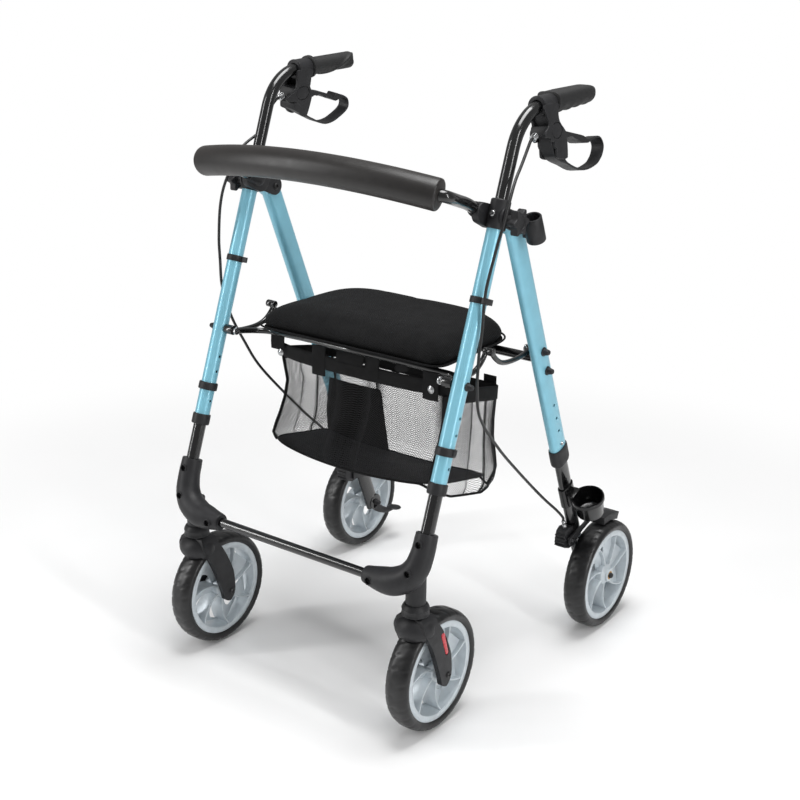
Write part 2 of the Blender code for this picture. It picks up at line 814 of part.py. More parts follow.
def make_lower_rear_leg(side):
    low, high = on_side(rear_axis(LOWER_LEG_Z[0]), side), on_side(rear_axis(LOWER_LEG_Z[1]), side)
    body = oval_bar(low, high, LOWER_LEG_OVAL)
    # Slot that the snap button's spring plate sits in
    matrix = along(on_side(rear_axis(BUTTON_Z), side), REAR_UP)
    near, far = sorted((SIDES[side] * -0.0062, SIDES[side] * 0.0100))
    slot = block((near, -0.0045, -0.0340), (far, 0.0045, 0.0060), matrix)
    # Foot casting, stub axle and axle nut
    axle = REAR_WHEEL[1:]
    foot = rod(on_side(axle, side, -0.0085), on_side(axle, side, 0.0075), 0.0165, sides=10)
    spacer = rod(on_side(axle, side, 0.006), on_side(axle, side, 0.0112), 0.0090, sides=12)
    stub = rod(on_side(axle, side, -0.012), on_side(axle, side, 0.0575), 0.0040, sides=10)
    inner_head = rod(on_side(axle, side, -0.0125), on_side(axle, side, -0.008), 0.0070, sides=6)
    nut = rod(on_side(axle, side, 0.0568), on_side(axle, side, 0.0615), 0.0085, 0.0055, sides=12)
    # Kerb pedal
    stem = tube(
        [
            on_side((0.2335, 0.0980), side, -0.003),
            on_side((0.2520, 0.0800), side, -0.006),
            on_side((0.2800, 0.0690), side, -0.010),
            on_side((0.3060, 0.0640), side, -0.0125),
        ],
        0.0062,
        sides=10,
    )
    pad = rod(on_side((0.3000, 0.0650), side, -0.0120), on_side((0.3180, 0.0620), side, -0.0135), 0.0090, sides=12)
    part(
        "lower_rear_leg_" + side,
        "black_paint",
        body,
        *cut(slot),
        *add(foot, spacer, stub, inner_head, nut, stem, pad),
    )


def make_snap_button(side):
    centre = rear_axis(BUTTON_Z)
    body = rod(on_side(centre, side, -0.0005), on_side(centre, side, 0.0125), 0.0031, 0.0025, sides=10)
    plate = rod(on_side(centre, side, 0.0005), on_side(centre, side, 0.0030), 0.0040, sides=10)
    part("snap_button_" + side, "steel", body, *add(plate), origin=on_side(centre, side))


def make_stick_cup():
    """Open cup on a saddle that is clamped to the right lower rear leg."""
    rim = Vector((0.2865, 0.1550, 0.2780))
    base = rim - REAR_UP * 0.0370
    profile = [
        (0.0262, 0.0370),
        (0.0290, 0.0370),
        (0.0290, 0.0310),
        (0.0262, 0.0290),
        (0.0235, 0.0),
        (0.0034, 0.0),
        (0.0034, 0.0030),
        (0.0208, 0.0030),
    ]
    cup = lathe(profile, base, REAR_UP, steps=20, ring=True)
    hollow = rod(base + REAR_UP * 0.003, rim + REAR_UP * 0.01, 0.0205, 0.0270, sides=20)
    low, high = on_side(rear_axis(0.2525), "right"), on_side(rear_axis(0.3165), "right")
    saddle = oval_bar(low, high, (0.0195, 0.0112))
    throat = oval_bar(low - REAR_UP * 0.01, high + REAR_UP * 0.01, (0.0159, 0.0079))
    matrix = along(on_side(rear_axis(0.270), "right"), REAR_UP)
    arm = block((0.0050, -0.0130, -0.0120), (0.0300, 0.0130, 0.0120), matrix)
    part("stick_cup", "black_plastic", cup, *add(arm), *cut(hollow), *add(saddle), *cut(throat))


# Rear brakes


# A larger wheel slides the brake up along the leg, so that it keeps its place over the tyre
BRAKE_SHIFT = 1.06 * (WHEEL_R - 0.100)


def at_brake(*points):
    """Side-plane points (y, z) of the brake, slid along the rear leg."""
    return [(y + REAR_UP.y * BRAKE_SHIFT, z + REAR_UP.z * BRAKE_SHIFT) for y, z in points]


BRAKE_PIN = at_brake((0.1500, 0.1900))[0]
BRAKE_BARREL = at_brake((0.1500, 0.2080), (0.1430, 0.2260))


def make_brake_block(side):
    sign = SIDES[side]
    outline = at_brake(
        (0.1335, 0.1850),
        (0.1400, 0.1760),
        (0.1560, 0.1700),
        (0.1815, 0.1722),
        (0.1650, 0.2100),
        (0.1480, 0.2120),
        (0.1380, 0.2060),
    )
    body = side_plate(outline, sign * 0.2372, sign * 0.2565)
    cheek_outline = at_brake((0.1560, 0.1760), (0.2010, 0.1690), (0.1880, 0.2060), (0.1560, 0.2050))
    cheek = side_plate(cheek_outline, sign * 0.2330, sign * 0.2373)
    pin = rod(on_side(BRAKE_PIN, side, 0.010), on_side(BRAKE_PIN, side, 0.0215), 0.0030, sides=10)
    low, high = (on_side(end, side, 0.003) for end in BRAKE_BARREL)
    barrel = rod(low, high, 0.0038, sides=12)
    part("brake_block_" + side, "black_plastic", body, *add(cheek, pin, barrel))


def make_brake_arm(side):
    sign = SIDES[side]
    wheel = REAR_WHEEL[1:]
    face = WHEEL_R + SHOE_GAP
    shoe_outline = circle(wheel, face + 0.0144, 98, 69, 6) + circle(wheel, face, 69, 98, 6)
    shoe = side_plate(shoe_outline, sign * 0.2602, sign * 0.2900)
    # The arm follows the tyre from its pin to the shoe: (angle about the axle, height over the tyre)
    arm_outline = at_brake((0.1420, 0.1900), (0.1440, 0.1835), (0.1520, 0.1815))
    under = [(116.3, 0.0071), (98.9, 0.0063), (95.1, 0.0064)]
    back = [(94.2, 0.0163), (112.1, 0.0155), (131.1, 0.0300)]
    for angle, over in under + back:
        arm_outline += circle(wheel, WHEEL_R + over, angle, angle, 1)[:1]
    arm = side_plate(arm_outline, sign * 0.2600, sign * 0.2645)
    hole = rod(on_side(BRAKE_PIN, side, 0.010), on_side(BRAKE_PIN, side, 0.025), 0.0034, sides=12)
    part("brake_arm_" + side, "black_plastic", shoe, *add(arm), *cut(hole), origin=on_side(BRAKE_PIN, side))


# Wheels


def make_wheel(name, centre):
    """Rim, hub and curved spokes moulded in one, turned about an axle along X."""
    inner = RIM_R - RIM_WALL
    rim_profile = [
        (inner, 0.0178),
        (RIM_R, 0.0178),
        (RIM_R, -0.0178),
        (inner, -0.0178),
    ]
    rim = lathe(rim_profile, centre, ACROSS, steps=28, ring=True)
    hub_profile = [
        (0.0045, 0.0222),
        (0.0120, 0.0222),
        (0.0190, 0.0150),
        (0.0190, -0.0150),
        (0.0120, -0.0222),
        (0.0045, -0.0222),
    ]
    hub = lathe(hub_profile, centre, ACROSS, steps=12, ring=True)
    spokes = []
    for i in range(SPOKES):
        start = 360 * i / SPOKES
        stations = ((0.0170, 0, 14), (0.0045 + inner * 0.55, 6, 5.0), (inner + 0.0025, 16, 5.5))
        outline = [(radius, start + swing - half) for radius, swing, half in stations]
        outline += [(radius, start + swing + half) for radius, swing, half in reversed(stations)]
        points = [
            (centre[1] + r * math.cos(math.radians(a)), centre[2] + r * math.sin(math.radians(a)))
            for r, a in outline
        ]
        spokes.append(side_plate(points, centre[0] - 0.0100, centre[0] + 0.0100))
    part(name, "silver_plastic", rim, *add(*spokes, hub), origin=centre)


def make_tyre(name, centre):
    shoulder = WHEEL_R - 0.42 * TYRE_DEPTH
    profile = [
        (RIM_R + GAP, 0.0176),
        (shoulder, TYRE_HALF_WIDTH),
        (WHEEL_R, 0.0090),
        (WHEEL_R, -0.0090),
        (shoulder, -TYRE_HALF_WIDTH),
        (RIM_R + GAP, -0.0176),
    ]
    part(name, "rubber", lathe(profile, centre, ACROSS, steps=28, ring=True), origin=centre)


# Front lower frame


def make_front_inner_tube(side):
    low, high = on_side(front_axis(0.3210), side), on_side(front_axis(0.5000), side)
    part("front_inner_tube_" + side, "black_paint", rod(low, high, INNER_TUBE_R))


def make_front_elbow(side):
    sign = SIDES[side]
    bends = [
        (0.2450, 0.3513, 1.00),
        (0.2450, 0.3400, 1.03),
        (0.2445, 0.3220, 1.05),
        (0.2400, 0.3000, 1.16),
        (0.2270, 0.2820, 1.28),
        (0.2050, 0.2710, 1.30),
        (0.1850, 0.2685, 1.18),
        (0.1680, 0.2680, 0.96),
        (0.1530, 0.2680, 0.80),
    ]
    path = [(sign * x, front_axis(z).y, z) for x, z, _ in bends]
    body = tube(path, 0.0172, sides=12, radii=[bend[2] for bend in bends])
    stem_x = sign * STEM[0]
    housing = rod((stem_x, STEM[1], CROWN_Z + 0.0032), (stem_x, STEM[1], 0.2860), 0.0160)
    skirt = lathe(
        [(0.0, 0.0190), (0.0175, 0.0190), (0.0215, 0.0120), (0.0217, 0.0), (0.0, 0.0)],
        (stem_x, STEM[1], CROWN_Z + 0.0004),
        (0.0, 0.0, 1.0),
        steps=16,
    )
    stem_bore = rod((stem_x, STEM[1], CROWN_Z - 0.0068), (stem_x, STEM[1], 0.2570), 0.0064, sides=12)
    leg_bore = rod(on_side(front_axis(0.3205), side), on_side(front_axis(0.3700), side), 0.0111)
    bar_y = front_axis(CROSS_BAR_Z).y
    bar_bore = rod((sign * 0.1400, bar_y, CROSS_BAR_Z), (sign * 0.1835, bar_y, CROSS_BAR_Z), 0.0081, sides=10)
    part(
        "front_elbow_" + side,
        "black_plastic",
        body,
        *add(housing, skirt),
        *cut(stem_bore, leg_bore, bar_bore),
    )


def make_front_cross_bar():
    y = front_axis(CROSS_BAR_Z).y
    body = rod((-0.1830, y, CROSS_BAR_Z), (0.1830, y, CROSS_BAR_Z), CROSS_BAR_R, sides=10)
    part("front_cross_bar", "black_paint", body)


def make_front_fork(side):
    sign = SIDES[side]
    x, y, z = sign * FRONT_WHEEL[0], FRONT_WHEEL[1], FRONT_WHEEL[2]
    profile = [
        (-0.2985, CROWN_Z),
        (-0.3110, CROWN_Z - 0.0058),
        (-0.3155, CROWN_Z - 0.0158),
        (-0.3000, CROWN_Z - 0.0333),
        (-0.2759, 0.1600),
        (-0.2670, 0.1430),
        (-0.2545, 0.1040),
        (-0.2510, 0.0900),
        (-0.2440, 0.0840),
        (-0.2350, 0.0830),
        (-0.2250, 0.0980),
        (-0.2262, 0.1280),
        (-0.2305, 0.1450),
        (-0.2480, CROWN_Z - 0.0338),
        (-0.2590, CROWN_Z - 0.0138),
        (-0.2640, CROWN_Z),
    ]
    body = side_plate(profile, x - 0.0335, x + 0.0335)
    front_view = [
        (-0.0200, CROWN_Z + 0.0002),
        (-0.0280, CROWN_Z - 0.0068),
        (-0.0325, CROWN_Z - 0.0208),
        (-0.0336, CROWN_Z - 0.0388),
        (-0.0336, 0.0700),
        (0.0336, 0.0700),
        (0.0336, CROWN_Z - 0.0388),
        (0.0325, CROWN_Z - 0.0208),
        (0.0280, CROWN_Z - 0.0068),
        (0.0200, CROWN_Z + 0.0002),
    ]
    limits = extruded([(x + px, -0.3300, pz) for px, pz in front_view], (0.0, 0.1200, 0.0))
    well = rod((x - 0.0245, y, z), (x + 0.0245, y, z), WHEEL_R + 0.0050, sides=24)
    stem_x = sign * STEM[0]
    stem = rod((stem_x, STEM[1], CROWN_Z - 0.0168), (stem_x, STEM[1], 0.2550), 0.0060, sides=12)
    axle = rod((x - 0.0345, y, z), (x + 0.0345, y, z), 0.0040, sides=10)
    washers = []
    for end in (-1, 1):
        washers.append(rod((x + end * 0.0226, y, z), (x + end * 0.0255, y, z), 0.0075, sides=10))
        washers.append(rod((x + end * 0.0325, y, z), (x + end * 0.0352, y, z), 0.0060, sides=6))
    part(
        "front_fork_" + side,
        "black_plastic",
        body,
        ("INTERSECT", limits),
        *cut(well),
        *add(stem, axle, *washers),
        origin=(stem_x, STEM[1], CROWN_Z),
    )


# Seat


def make_seat_frame():
    pieces = []
    for sign in (-1, 1):
        block_in, block_out = (sign * 0.2110, *SEAT_PIVOT), (sign * 0.2319, *SEAT_PIVOT)
        pieces.append(rod(block_in, block_out, 0.0110, sides=10))
        arm = side_plate(stadium(SEAT_PIVOT, LINK_MID, 0.0085, 0.0085), sign * 0.2165, sign * 0.2235)
        pieces.append(arm)
        rail = [
            (sign * 0.150, -0.1370, 0.5580),
            (sign * 0.150, -0.1200, 0.5640),
            (sign * 0.150, -0.1050, 0.5660),
            (sign * 0.150, 0.0500, 0.5660),
        ]
        pieces.append(tube(rail, 0.0050, sides=8))
        saddle = block((-0.0110, -0.0080, -0.0080), (0.0110, 0.0080, 0.0020))
        saddle.data.transform(Matrix.Translation((sign * 0.150, CROSS_TUBE[0], 0.5660)))
        pieces.append(saddle)
    rear_rail = rod((-0.155, 0.0500, 0.5660), (0.155, 0.0500, 0.5660), 0.0050, sides=8)
    half = smooth_path(
        [
            (0.2165, -0.1920, 0.5640),
            (0.2120, -0.1650, 0.5595),
            (0.2040, -0.1440, 0.5560),
            (0.1890, -0.1350, 0.5555),
            (0.1650, -0.1355, 0.5565),
            (0.1000, -0.1425, 0.5605),
            (0.0, -0.1500, 0.5630),
        ],
        2,
    )
    whole = half + [mirrored(point, -1) for point in reversed(half[:-1])]
    bail = tube(whole, 0.0050, sides=8)
    bolt_hole = rod((-0.24, *SEAT_PIVOT), (0.24, *SEAT_PIVOT), 0.0044, sides=10)
    bar = rod((-0.2, *CROSS_TUBE), (0.2, *CROSS_TUBE), 0.0078, sides=16)
    part(
        "seat_frame",
        "black_paint",
        bail,
        *add(*pieces, rear_rail),
        *cut(bolt_hole, bar),
        origin=(0.0, *SEAT_PIVOT),
    )


def pad_outline(scale, z, count=28):
    half_x, half_y, middle_y = 0.1835, 0.1250, -0.0620
    points = []
    for i in range(count):
        angle = 2 * math.pi * (i + 0.5) / count
        c, s = math.cos(angle), math.sin(angle)
        x = scale * half_x * math.copysign(abs(c) ** 0.4, c)
        y = scale * half_y * math.copysign(abs(s) ** 0.4, s)
        if y < 0:
            y -= 0.004 * scale * (1 - (x / half_x) ** 2)
        points.append((x, middle_y + y, z))
    return points


def make_seat_pad():
    rings = (
        (0.930, 0.5713),
        (0.975, 0.5725),
        (1.000, 0.5770),
        (1.000, 0.5830),
        (0.980, 0.5905),
        (0.930, 0.5975),
        (0.820, 0.6035),
        (0.600, 0.6080),
        (0.300, 0.6100),
    )
    bm = bmesh.new()
    loops = [[bm.verts.new(point) for point in pad_outline(scale, z)] for scale, z in rings]
    for lower, upper in zip(loops, loops[1:]):
        for i in range(28):
            j = (i + 1) % 28
            bm.faces.new((lower[i], lower[j], upper[j], upper[i]))
    for loop, z in ((loops[0], rings[0][1]), (loops[-1], 0.6105)):
        middle = bm.verts.new((0.0, -0.062, z))
        for i in range(28):
            bm.faces.new((loop[i], loop[(i + 1) % 28], middle))
    part("seat_pad", "fabric", shape_from(bm), origin=(0.0, *SEAT_PIVOT))


# Brake cables


UPPER_CABLE = {
    "left": [
        (-0.2514, -0.0294, 0.9331),
        (-0.2518, -0.0370, 0.9301),
        (-0.2535, -0.0495, 0.9165),
        (-0.2560, -0.0700, 0.8830),
        (-0.2620, -0.1150, 0.8560),
        (-0.2660, -0.1480, 0.8084),
        (-0.2660, -0.1640, 0.7685),
        (-0.2640, -0.1720, 0.7150),
        (-0.2630, -0.1722, 0.6786),
    ],
    "right": [
        (0.2514, -0.0292, 0.9123),
        (0.2518, -0.0353, 0.9099),
        (0.2545, -0.0500, 0.8960),
        (0.2600, -0.0720, 0.8790),
        (0.2680, -0.1010, 0.8600),
        (0.2740, -0.1250, 0.8320),
        (0.2730, -0.1360, 0.8020),
        (0.2690, -0.1430, 0.7750),
        (0.2630, -0.1590, 0.7150),
        (0.2630, -0.1650, 0.6866),
    ],
}
LOWER_CABLE = {
    "left": [
        (-0.2630, -0.1720, 0.6780),
        (-0.2650, -0.1680, 0.6350),
        (-0.2650, -0.1590, 0.6050),
        (-0.2600, -0.1500, 0.5700),
        (-0.2490, -0.1350, 0.5300),
        (-0.2390, -0.1000, 0.4700),
        (-0.2350, -0.0030, 0.3700),
        (-0.2390, 0.0700, 0.3060),
        (-0.2450, 0.1220, 0.2580),
        (-0.2480, 0.1399, 0.2339),
        (-0.2480, 0.1427, 0.2269),
    ],
    "right": [
        (0.2630, -0.1650, 0.6860),
        (0.2645, -0.1700, 0.6500),
        (0.2645, -0.1760, 0.6150),
        (0.2620, -0.1740, 0.5850),
        (0.2580, -0.1680, 0.5550),
        (0.2490, -0.1430, 0.5000),
        (0.2380, -0.0700, 0.4270),
        (0.2350, -0.0035, 0.3662),
        (0.2370, 0.0793, 0.2916),
        (0.2440, 0.1220, 0.2530),
        (0.2480, 0.1399, 0.2339),
        (0.2480, 0.1427, 0.2269),
    ],
}


def at_brake_end(side):
    """The last points of the lower cable, which lead into the barrel of the brake."""
    return [(x, *at_brake((y, z))[0]) for x, y, z in LOWER_CABLE[side][-2:]]


def make_cable(name, route):
    path = smooth_path(route, 2)
    part(name, "rubber", tube(path, 0.0025, sides=6))


def make_all():
    for side in SIDES:
        make_front_leg(side)
        make_top_bracket(side)
        make_front_leg_collar(side)
        make_front_lock_ring(side)
        make_handle_tube(side)
        make_grip(side)
        make_brake_housing(side)
        make_brake_lever(side)
        make_star_knob(side)
        make_rear_leg(side)
        make_rear_leg_collar(side)
        make_side_link(side)
        make_lower_rear_leg(side)
        make_snap_button(side)
        make_brake_block(side)
        make_brake_arm(side)
        make_front_inner_tube(side)
        make_front_elbow(side)
        make_front_fork(side)
        sign = SIDES[side]
        rear = (sign * REAR_WHEEL[0], *REAR_WHEEL[1:])
        front = (sign * FRONT_WHEEL[0], *FRONT_WHEEL[1:])
        make_wheel("rear_wheel_" + side, rear)
        make_tyre("rear_tyre_" + side, rear)
        make_wheel("front_wheel_" + side, front)
        make_tyre("front_tyre_" + side, front)
        make_cable("brake_cable_upper_" + side, UPPER_CABLE[side])
        make_cable("brake_cable_lower_" + side, LOWER_CABLE[side][:-2] + at_brake_end(side))
    make_backrest_tube()
    make_backrest_pad()
    make_stick_loop()
    make_basket()
    make_rear_cross_tube()
    make_stick_cup()
    make_front_cross_bar()
    make_seat_frame()
    make_seat_pad()


clear_scene()
parts = new_collection("rollator")
helpers = new_collection("cutters", hidden=True)
make_all()
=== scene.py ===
"""Four-wheel rollator: its visible pieces and finishes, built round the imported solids.

Metres. X runs across and +X is the side of the stick cup. -Y is the front, Z is up and the floor is z = 0.
"""

from math import atan2, copysign, cos, degrees, exp, hypot, pi, radians, sin, sqrt, tan

import bmesh
import bpy
from bpy.props import FloatProperty, FloatVectorProperty, PointerProperty
from bpy.types import Operator, Panel, PropertyGroup
from mathutils import Matrix, Vector


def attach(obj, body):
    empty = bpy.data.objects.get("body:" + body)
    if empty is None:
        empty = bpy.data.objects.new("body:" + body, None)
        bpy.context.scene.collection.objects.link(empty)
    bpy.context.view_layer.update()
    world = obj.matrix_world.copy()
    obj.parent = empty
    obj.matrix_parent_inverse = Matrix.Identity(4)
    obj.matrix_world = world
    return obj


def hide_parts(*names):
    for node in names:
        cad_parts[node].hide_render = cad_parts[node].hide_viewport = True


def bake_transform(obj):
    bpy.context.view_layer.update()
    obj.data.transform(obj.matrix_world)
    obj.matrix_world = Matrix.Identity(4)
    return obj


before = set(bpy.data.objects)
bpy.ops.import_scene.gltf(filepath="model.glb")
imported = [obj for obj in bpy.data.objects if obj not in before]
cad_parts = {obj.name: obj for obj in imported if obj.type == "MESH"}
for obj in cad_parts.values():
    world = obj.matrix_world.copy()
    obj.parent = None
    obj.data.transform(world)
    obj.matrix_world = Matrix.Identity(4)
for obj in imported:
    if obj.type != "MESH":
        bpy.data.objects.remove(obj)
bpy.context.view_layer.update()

bl_info = {
    "name": "Four-wheel rollator", "version": (1, 0, 0), "blender": (4, 5, 0),
    "location": "View3D > Sidebar > Rollator",
    "description": "Builds the visible pieces of a folding rollator with seat, basket and loop brakes",
    "category": "Add Mesh",
}


# Side frames: leg axes lie in the planes x = +-LEG_X and lean along Y as they rise
LEG_X = 0.245
FRONT_FOOT_Y = -0.2449
FRONT_FOOT_Z = 0.4248
FRONT_LEAN = 0.359
REAR_FOOT_Y = 0.2295
REAR_FOOT_Z = 0.1
REAR_LEAN = -0.427
FRONT_UP = Vector((0.0, FRONT_LEAN, 1.0)).normalized()
REAR_UP = Vector((0.0, REAR_LEAN, 1.0)).normalized()
ACROSS = Vector((1.0, 0.0, 0.0))
SIDES = {"left": -1, "right": 1}

FRONT_LEG_Z = (0.412, 0.826)
FRONT_HOLE_Z = (0.5197, 0.4953, 0.4702, 0.447)
REAR_LEG_OVAL = (0.019, 0.01)
LOWER_LEG_OVAL = (0.0155, 0.0075)
REAR_LEG_Z = (0.352, 0.798)
REAR_HOLE_Z = (0.462, 0.436, 0.411)
BUTTON_Z = 0.3845
LOWER_LEG_Z = (0.092, 0.428)

# Pivots in the side planes, as (y, z)
FOLD_PIVOT = (-0.0651, 0.79)
SEAT_PIVOT = (-0.1944, 0.5656)
LINK_REAR = (0.0305, 0.566)
LINK_MID = (-0.0865, 0.588)
CROSS_TUBE = (0.0375, 0.55)
KNOB = (-0.1065, 0.802)
BRAKE_PIN = (0.15, 0.19)

REAR_WHEEL = (0.279, 0.2335, 0.1)
FRONT_WHEEL = (0.232, -0.2335, 0.1)
STEM = (0.2326, -0.2802)
SPOKES = 7
CROSS_BAR_Z = 0.268

HANDLE_FOOT_Z = 0.66
HANDLE_BEND_R = 0.085
HANDLE_CORNER = (-0.0469, 0.9764)
GRIP_RISE = 0.0487
GRIP_BACK = Vector((0.0, 1.0, GRIP_RISE)).normalized()
HANDLE_DROP = {"left": 0.0, "right": 0.0225}
GRIP_Y = {"left": (0.0375, 0.153), "right": (0.028, 0.152)}
BAND_Y = {"left": (0.002, 0.0372), "right": (-0.011, 0.0277)}
BRAKE_TILT = radians(8)
LEVER_PIVOT = (0.009, 0.04)

# Camera that saw the object, and its lens on a 36 mm sensor
CAMERA_PLACE = (1.286, -1.7665, 1.198)
CAMERA_AZIMUTH = radians(36.23)
CAMERA_ELEVATION = radians(19.23)
CAMERA_ROLL = radians(0.88)
CAMERA_LENS = 60.05


def linear(code):
    """Linear colour of an sRGB hex value."""
    channels = [int(code[i : i + 2], 16) / 255 for i in (1, 3, 5)]
    return tuple(c / 12.92 if c <= 0.04045 else ((c + 0.055) / 1.055) ** 2.4 for c in channels)


# Sizes and colours that a user would change


class RollatorSizes(PropertyGroup):
    leg_radius: FloatProperty(
        name="Front leg radius", description="Outer radius of the round front leg tube",
        default=0.0127, unit="LENGTH",
    )
    handle_radius: FloatProperty(
        name="Handle radius", description="Outer radius of the handle tube", default=0.01, unit="LENGTH"
    )
    wheel_radius: FloatProperty(
        name="Wheel radius", description="Radius over the tyre", default=0.1, unit="LENGTH"
    )
    rim_radius: FloatProperty(
        name="Rim radius", description="Outer radius of the moulded rim", default=0.0835, unit="LENGTH"
    )
    cable_radius: FloatProperty(
        name="Cable radius", description="Radius of the brake cable's sheath", default=0.0024, unit="LENGTH"
    )
    backrest_radius: FloatProperty(
        name="Backrest radius", description="Radius of the foam round the backrest tube",
        default=0.024, unit="LENGTH",
    )
    mesh_pitch: FloatProperty(
        name="Mesh pitch", description="Distance between the basket mesh's threads",
        default=0.0046, unit="LENGTH",
    )
    mesh_thread: FloatProperty(
        name="Mesh thread", description="Width of a thread of the basket mesh", default=0.00078, unit="LENGTH"
    )


class RollatorColours(PropertyGroup):
    frame_blue: FloatVectorProperty(
        name="Frame blue", description="Paint of the leg tubes", subtype="COLOR", default=linear("#82C2D6")
    )
    tube_black: FloatVectorProperty(
        name="Tube black", description="Paint of the inner tubes and handles", subtype="COLOR",
        default=linear("#0B0B0C"),
    )
    moulding: FloatVectorProperty(
        name="Moulding", description="Charcoal plastic of brackets and forks", subtype="COLOR",
        default=linear("#202022"),
    )
    wheel_silver: FloatVectorProperty(
        name="Wheel silver", description="Plastic of the wheel rims", subtype="COLOR",
        default=linear("#C3CBD0"),
    )
    reflector_red: FloatVectorProperty(
        name="Insert red", description="Plastic of the small fork inserts", subtype="COLOR",
        default=linear("#C02733"),
    )
    seat_black: FloatVectorProperty(
        name="Seat black", description="Cloth of the seat and the straps", subtype="COLOR",
        default=linear("#0A0A0B"),
    )
    floor_white: FloatVectorProperty(
        name="Floor", description="Studio floor and backdrop", subtype="COLOR", default=linear("#F4F4F4")
    )


# Places and frames


def mm(*points):
    """Points that are given in millimetres, in metres."""
    return [tuple(round(value / 1000, 7) for value in point) for point in points]


def front_axis(z):
    return Vector((0.0, FRONT_FOOT_Y + FRONT_LEAN * (z - FRONT_FOOT_Z), z))


def rear_axis(z):
    return Vector((0.0, REAR_FOOT_Y + REAR_LEAN * (z - REAR_FOOT_Z), z))


def on_side(point, side, out=0.0):
    """The point of a side plane, moved outwards by out."""
    return Vector((SIDES[side] * (LEG_X + out), point[-2], point[-1]))


def axes(x, y, z):
    """Turn that takes the world's axes to the given ones."""
    return Matrix((x, y, z)).transposed().to_4x4()


def on_front(z, side):
    """Point of a front leg's axis at a height."""
    return on_side(front_axis(z), side)


def on_rear(z, side, out=0.0):
    """Point of a rear leg's axis at a height, moved outwards by out."""
    return on_side(rear_axis(z), side, out)


def along(origin, direction):
    """A frame whose Z runs along the direction and whose X stays across the object where it can."""
    up = Vector(direction).normalized()
    across = ACROSS if abs(up.x) < 0.9 else Vector((0.0, 1.0, 0.0))
    depth = up.cross(across).normalized()
    return Matrix.Translation(origin) @ axes(depth.cross(up), depth, up)


def mirrored(point, sign):
    return Vector((sign * point[0], point[1], point[2]))


def curve_point(a, b, c, d, t):
    """Point of a smooth curve through four points, at the share t of the way from the second to the third."""
    cubic = 2 * b + (c - a) * t + (2 * a - 5 * b + 4 * c - d) * t**2
    return 0.5 * (cubic + (3 * b - a - 3 * c + d) * t**3)


def smooth_path(points, steps):
    """Points on a smooth curve through the given ones."""
    points = [Vector(point) for point in points]
    padded = [2 * points[0] - points[1], *points, 2 * points[-1] - points[-2]]
    path = []
    for four in zip(padded, padded[1:], padded[2:], padded[3:]):
        path += [curve_point(*four, i / steps) for i in range(steps)]
    return [*path, points[-1]]


def squared(value, power):
    """A cosine or sine bent towards a squarer outline by a power below 1."""
    return copysign(abs(value) ** power, value)


def flipped(profile):
    """The profile's mirror image in height, in reverse order."""
    return [(r, -h) for r, h in reversed(profile)]


def arc(centre, radius, start, end, count):
    """Points (y, z) on an arc, with angles in degrees from +Y towards +Z."""
    angles = [radians(start + (end - start) * i / count) for i in range(count + 1)]
    return [(centre[0] + radius * cos(a), centre[1] + radius * sin(a)) for a in angles]


def stadium(first, second, first_r, second_r, count=16):
    """Outline (y, z) round two circles."""
    direction = degrees(atan2(second[1] - first[1], second[0] - first[0]))
    outline = arc(first, first_r, direction + 90, direction + 270, count)
    return outline + arc(second, second_r, direction - 90, direction + 90, count)


def between(key, table):
    """Value of a table of (key, value) pairs, on straight lines between them."""
    for (k0, v0), (k1, v1) in zip(table, table[1:]):
        if key <= k1:
            return v0 + (v1 - v0) * max(0.0, key - k0) / (k1 - k0)
    return table[-1][1]


# Mesh work


def join(bm, part, matrix=None):
    """Adds a shape to the mesh, placed by the matrix, and frees it."""
    if matrix is not None:
        bmesh.ops.transform(part, matrix=matrix, verts=part.verts)
    mesh = bpy.data.meshes.new("part")
    part.to_mesh(mesh)
    part.free()
    bm.from_mesh(mesh)
    bpy.data.meshes.remove(mesh)


def shaped(maker, *args, **settings):
    """A new mesh with one shape in it."""
    bm = bmesh.new()
    maker(bm, *args, **settings)
    return bm


def edges_of(verts):
    """The edges between the vertices, in an order that is the same in each run."""
    chosen = set(verts)
    return list(dict.fromkeys(e for vert in verts for e in vert.link_edges if set(e.verts) <= chosen))


def round_edges(bm, edges, offset, segments=3):
    bmesh.ops.bevel(
        bm, geom=edges, offset=offset, segments=segments, profile=0.5, affect="EDGES", material=-1,
        clamp_overlap=True,
    )


def cylinder(bm, start, end, radius, end_radius=None, sides=40, bevel=0.0):
    """A cylinder, or a cone where end_radius is given, with its rims rounded by bevel."""
    start, end = Vector(start), Vector(end)
    part = bmesh.new()
    bmesh.ops.create_cone(
        part, cap_ends=True, segments=sides, radius1=radius,
        radius2=radius if end_radius is None else end_radius, depth=(end - start).length,
    )
    if bevel:
        rims = [edge for edge in part.edges if abs(edge.verts[0].co.z - edge.verts[1].co.z) < 1e-6]
        round_edges(part, rims, bevel)
    join(bm, part, along((start + end) / 2, end - start))


def pin(bm, point, side, start, end, radius, sides=40, bevel=0.0):
    """A cylinder across a side plane, from start to end outwards of it."""
    cylinder(bm, on_side(point, side, start), on_side(point, side, end), radius, sides=sides, bevel=bevel)


def block(bm, low, high, matrix=None, bevel=0.0):
    """A box between two corners with rounded edges."""
    size = [b - a for a, b in zip(low, high)]
    middle = [(a + b) / 2 for a, b in zip(low, high)]
    part = bmesh.new()
    place = Matrix.Translation(middle) @ Matrix.Diagonal((*size, 1.0))
    bmesh.ops.create_cube(part, size=1.0, matrix=place)
    if bevel:
        round_edges(part, part.edges[:], bevel)
    join(bm, part, matrix)


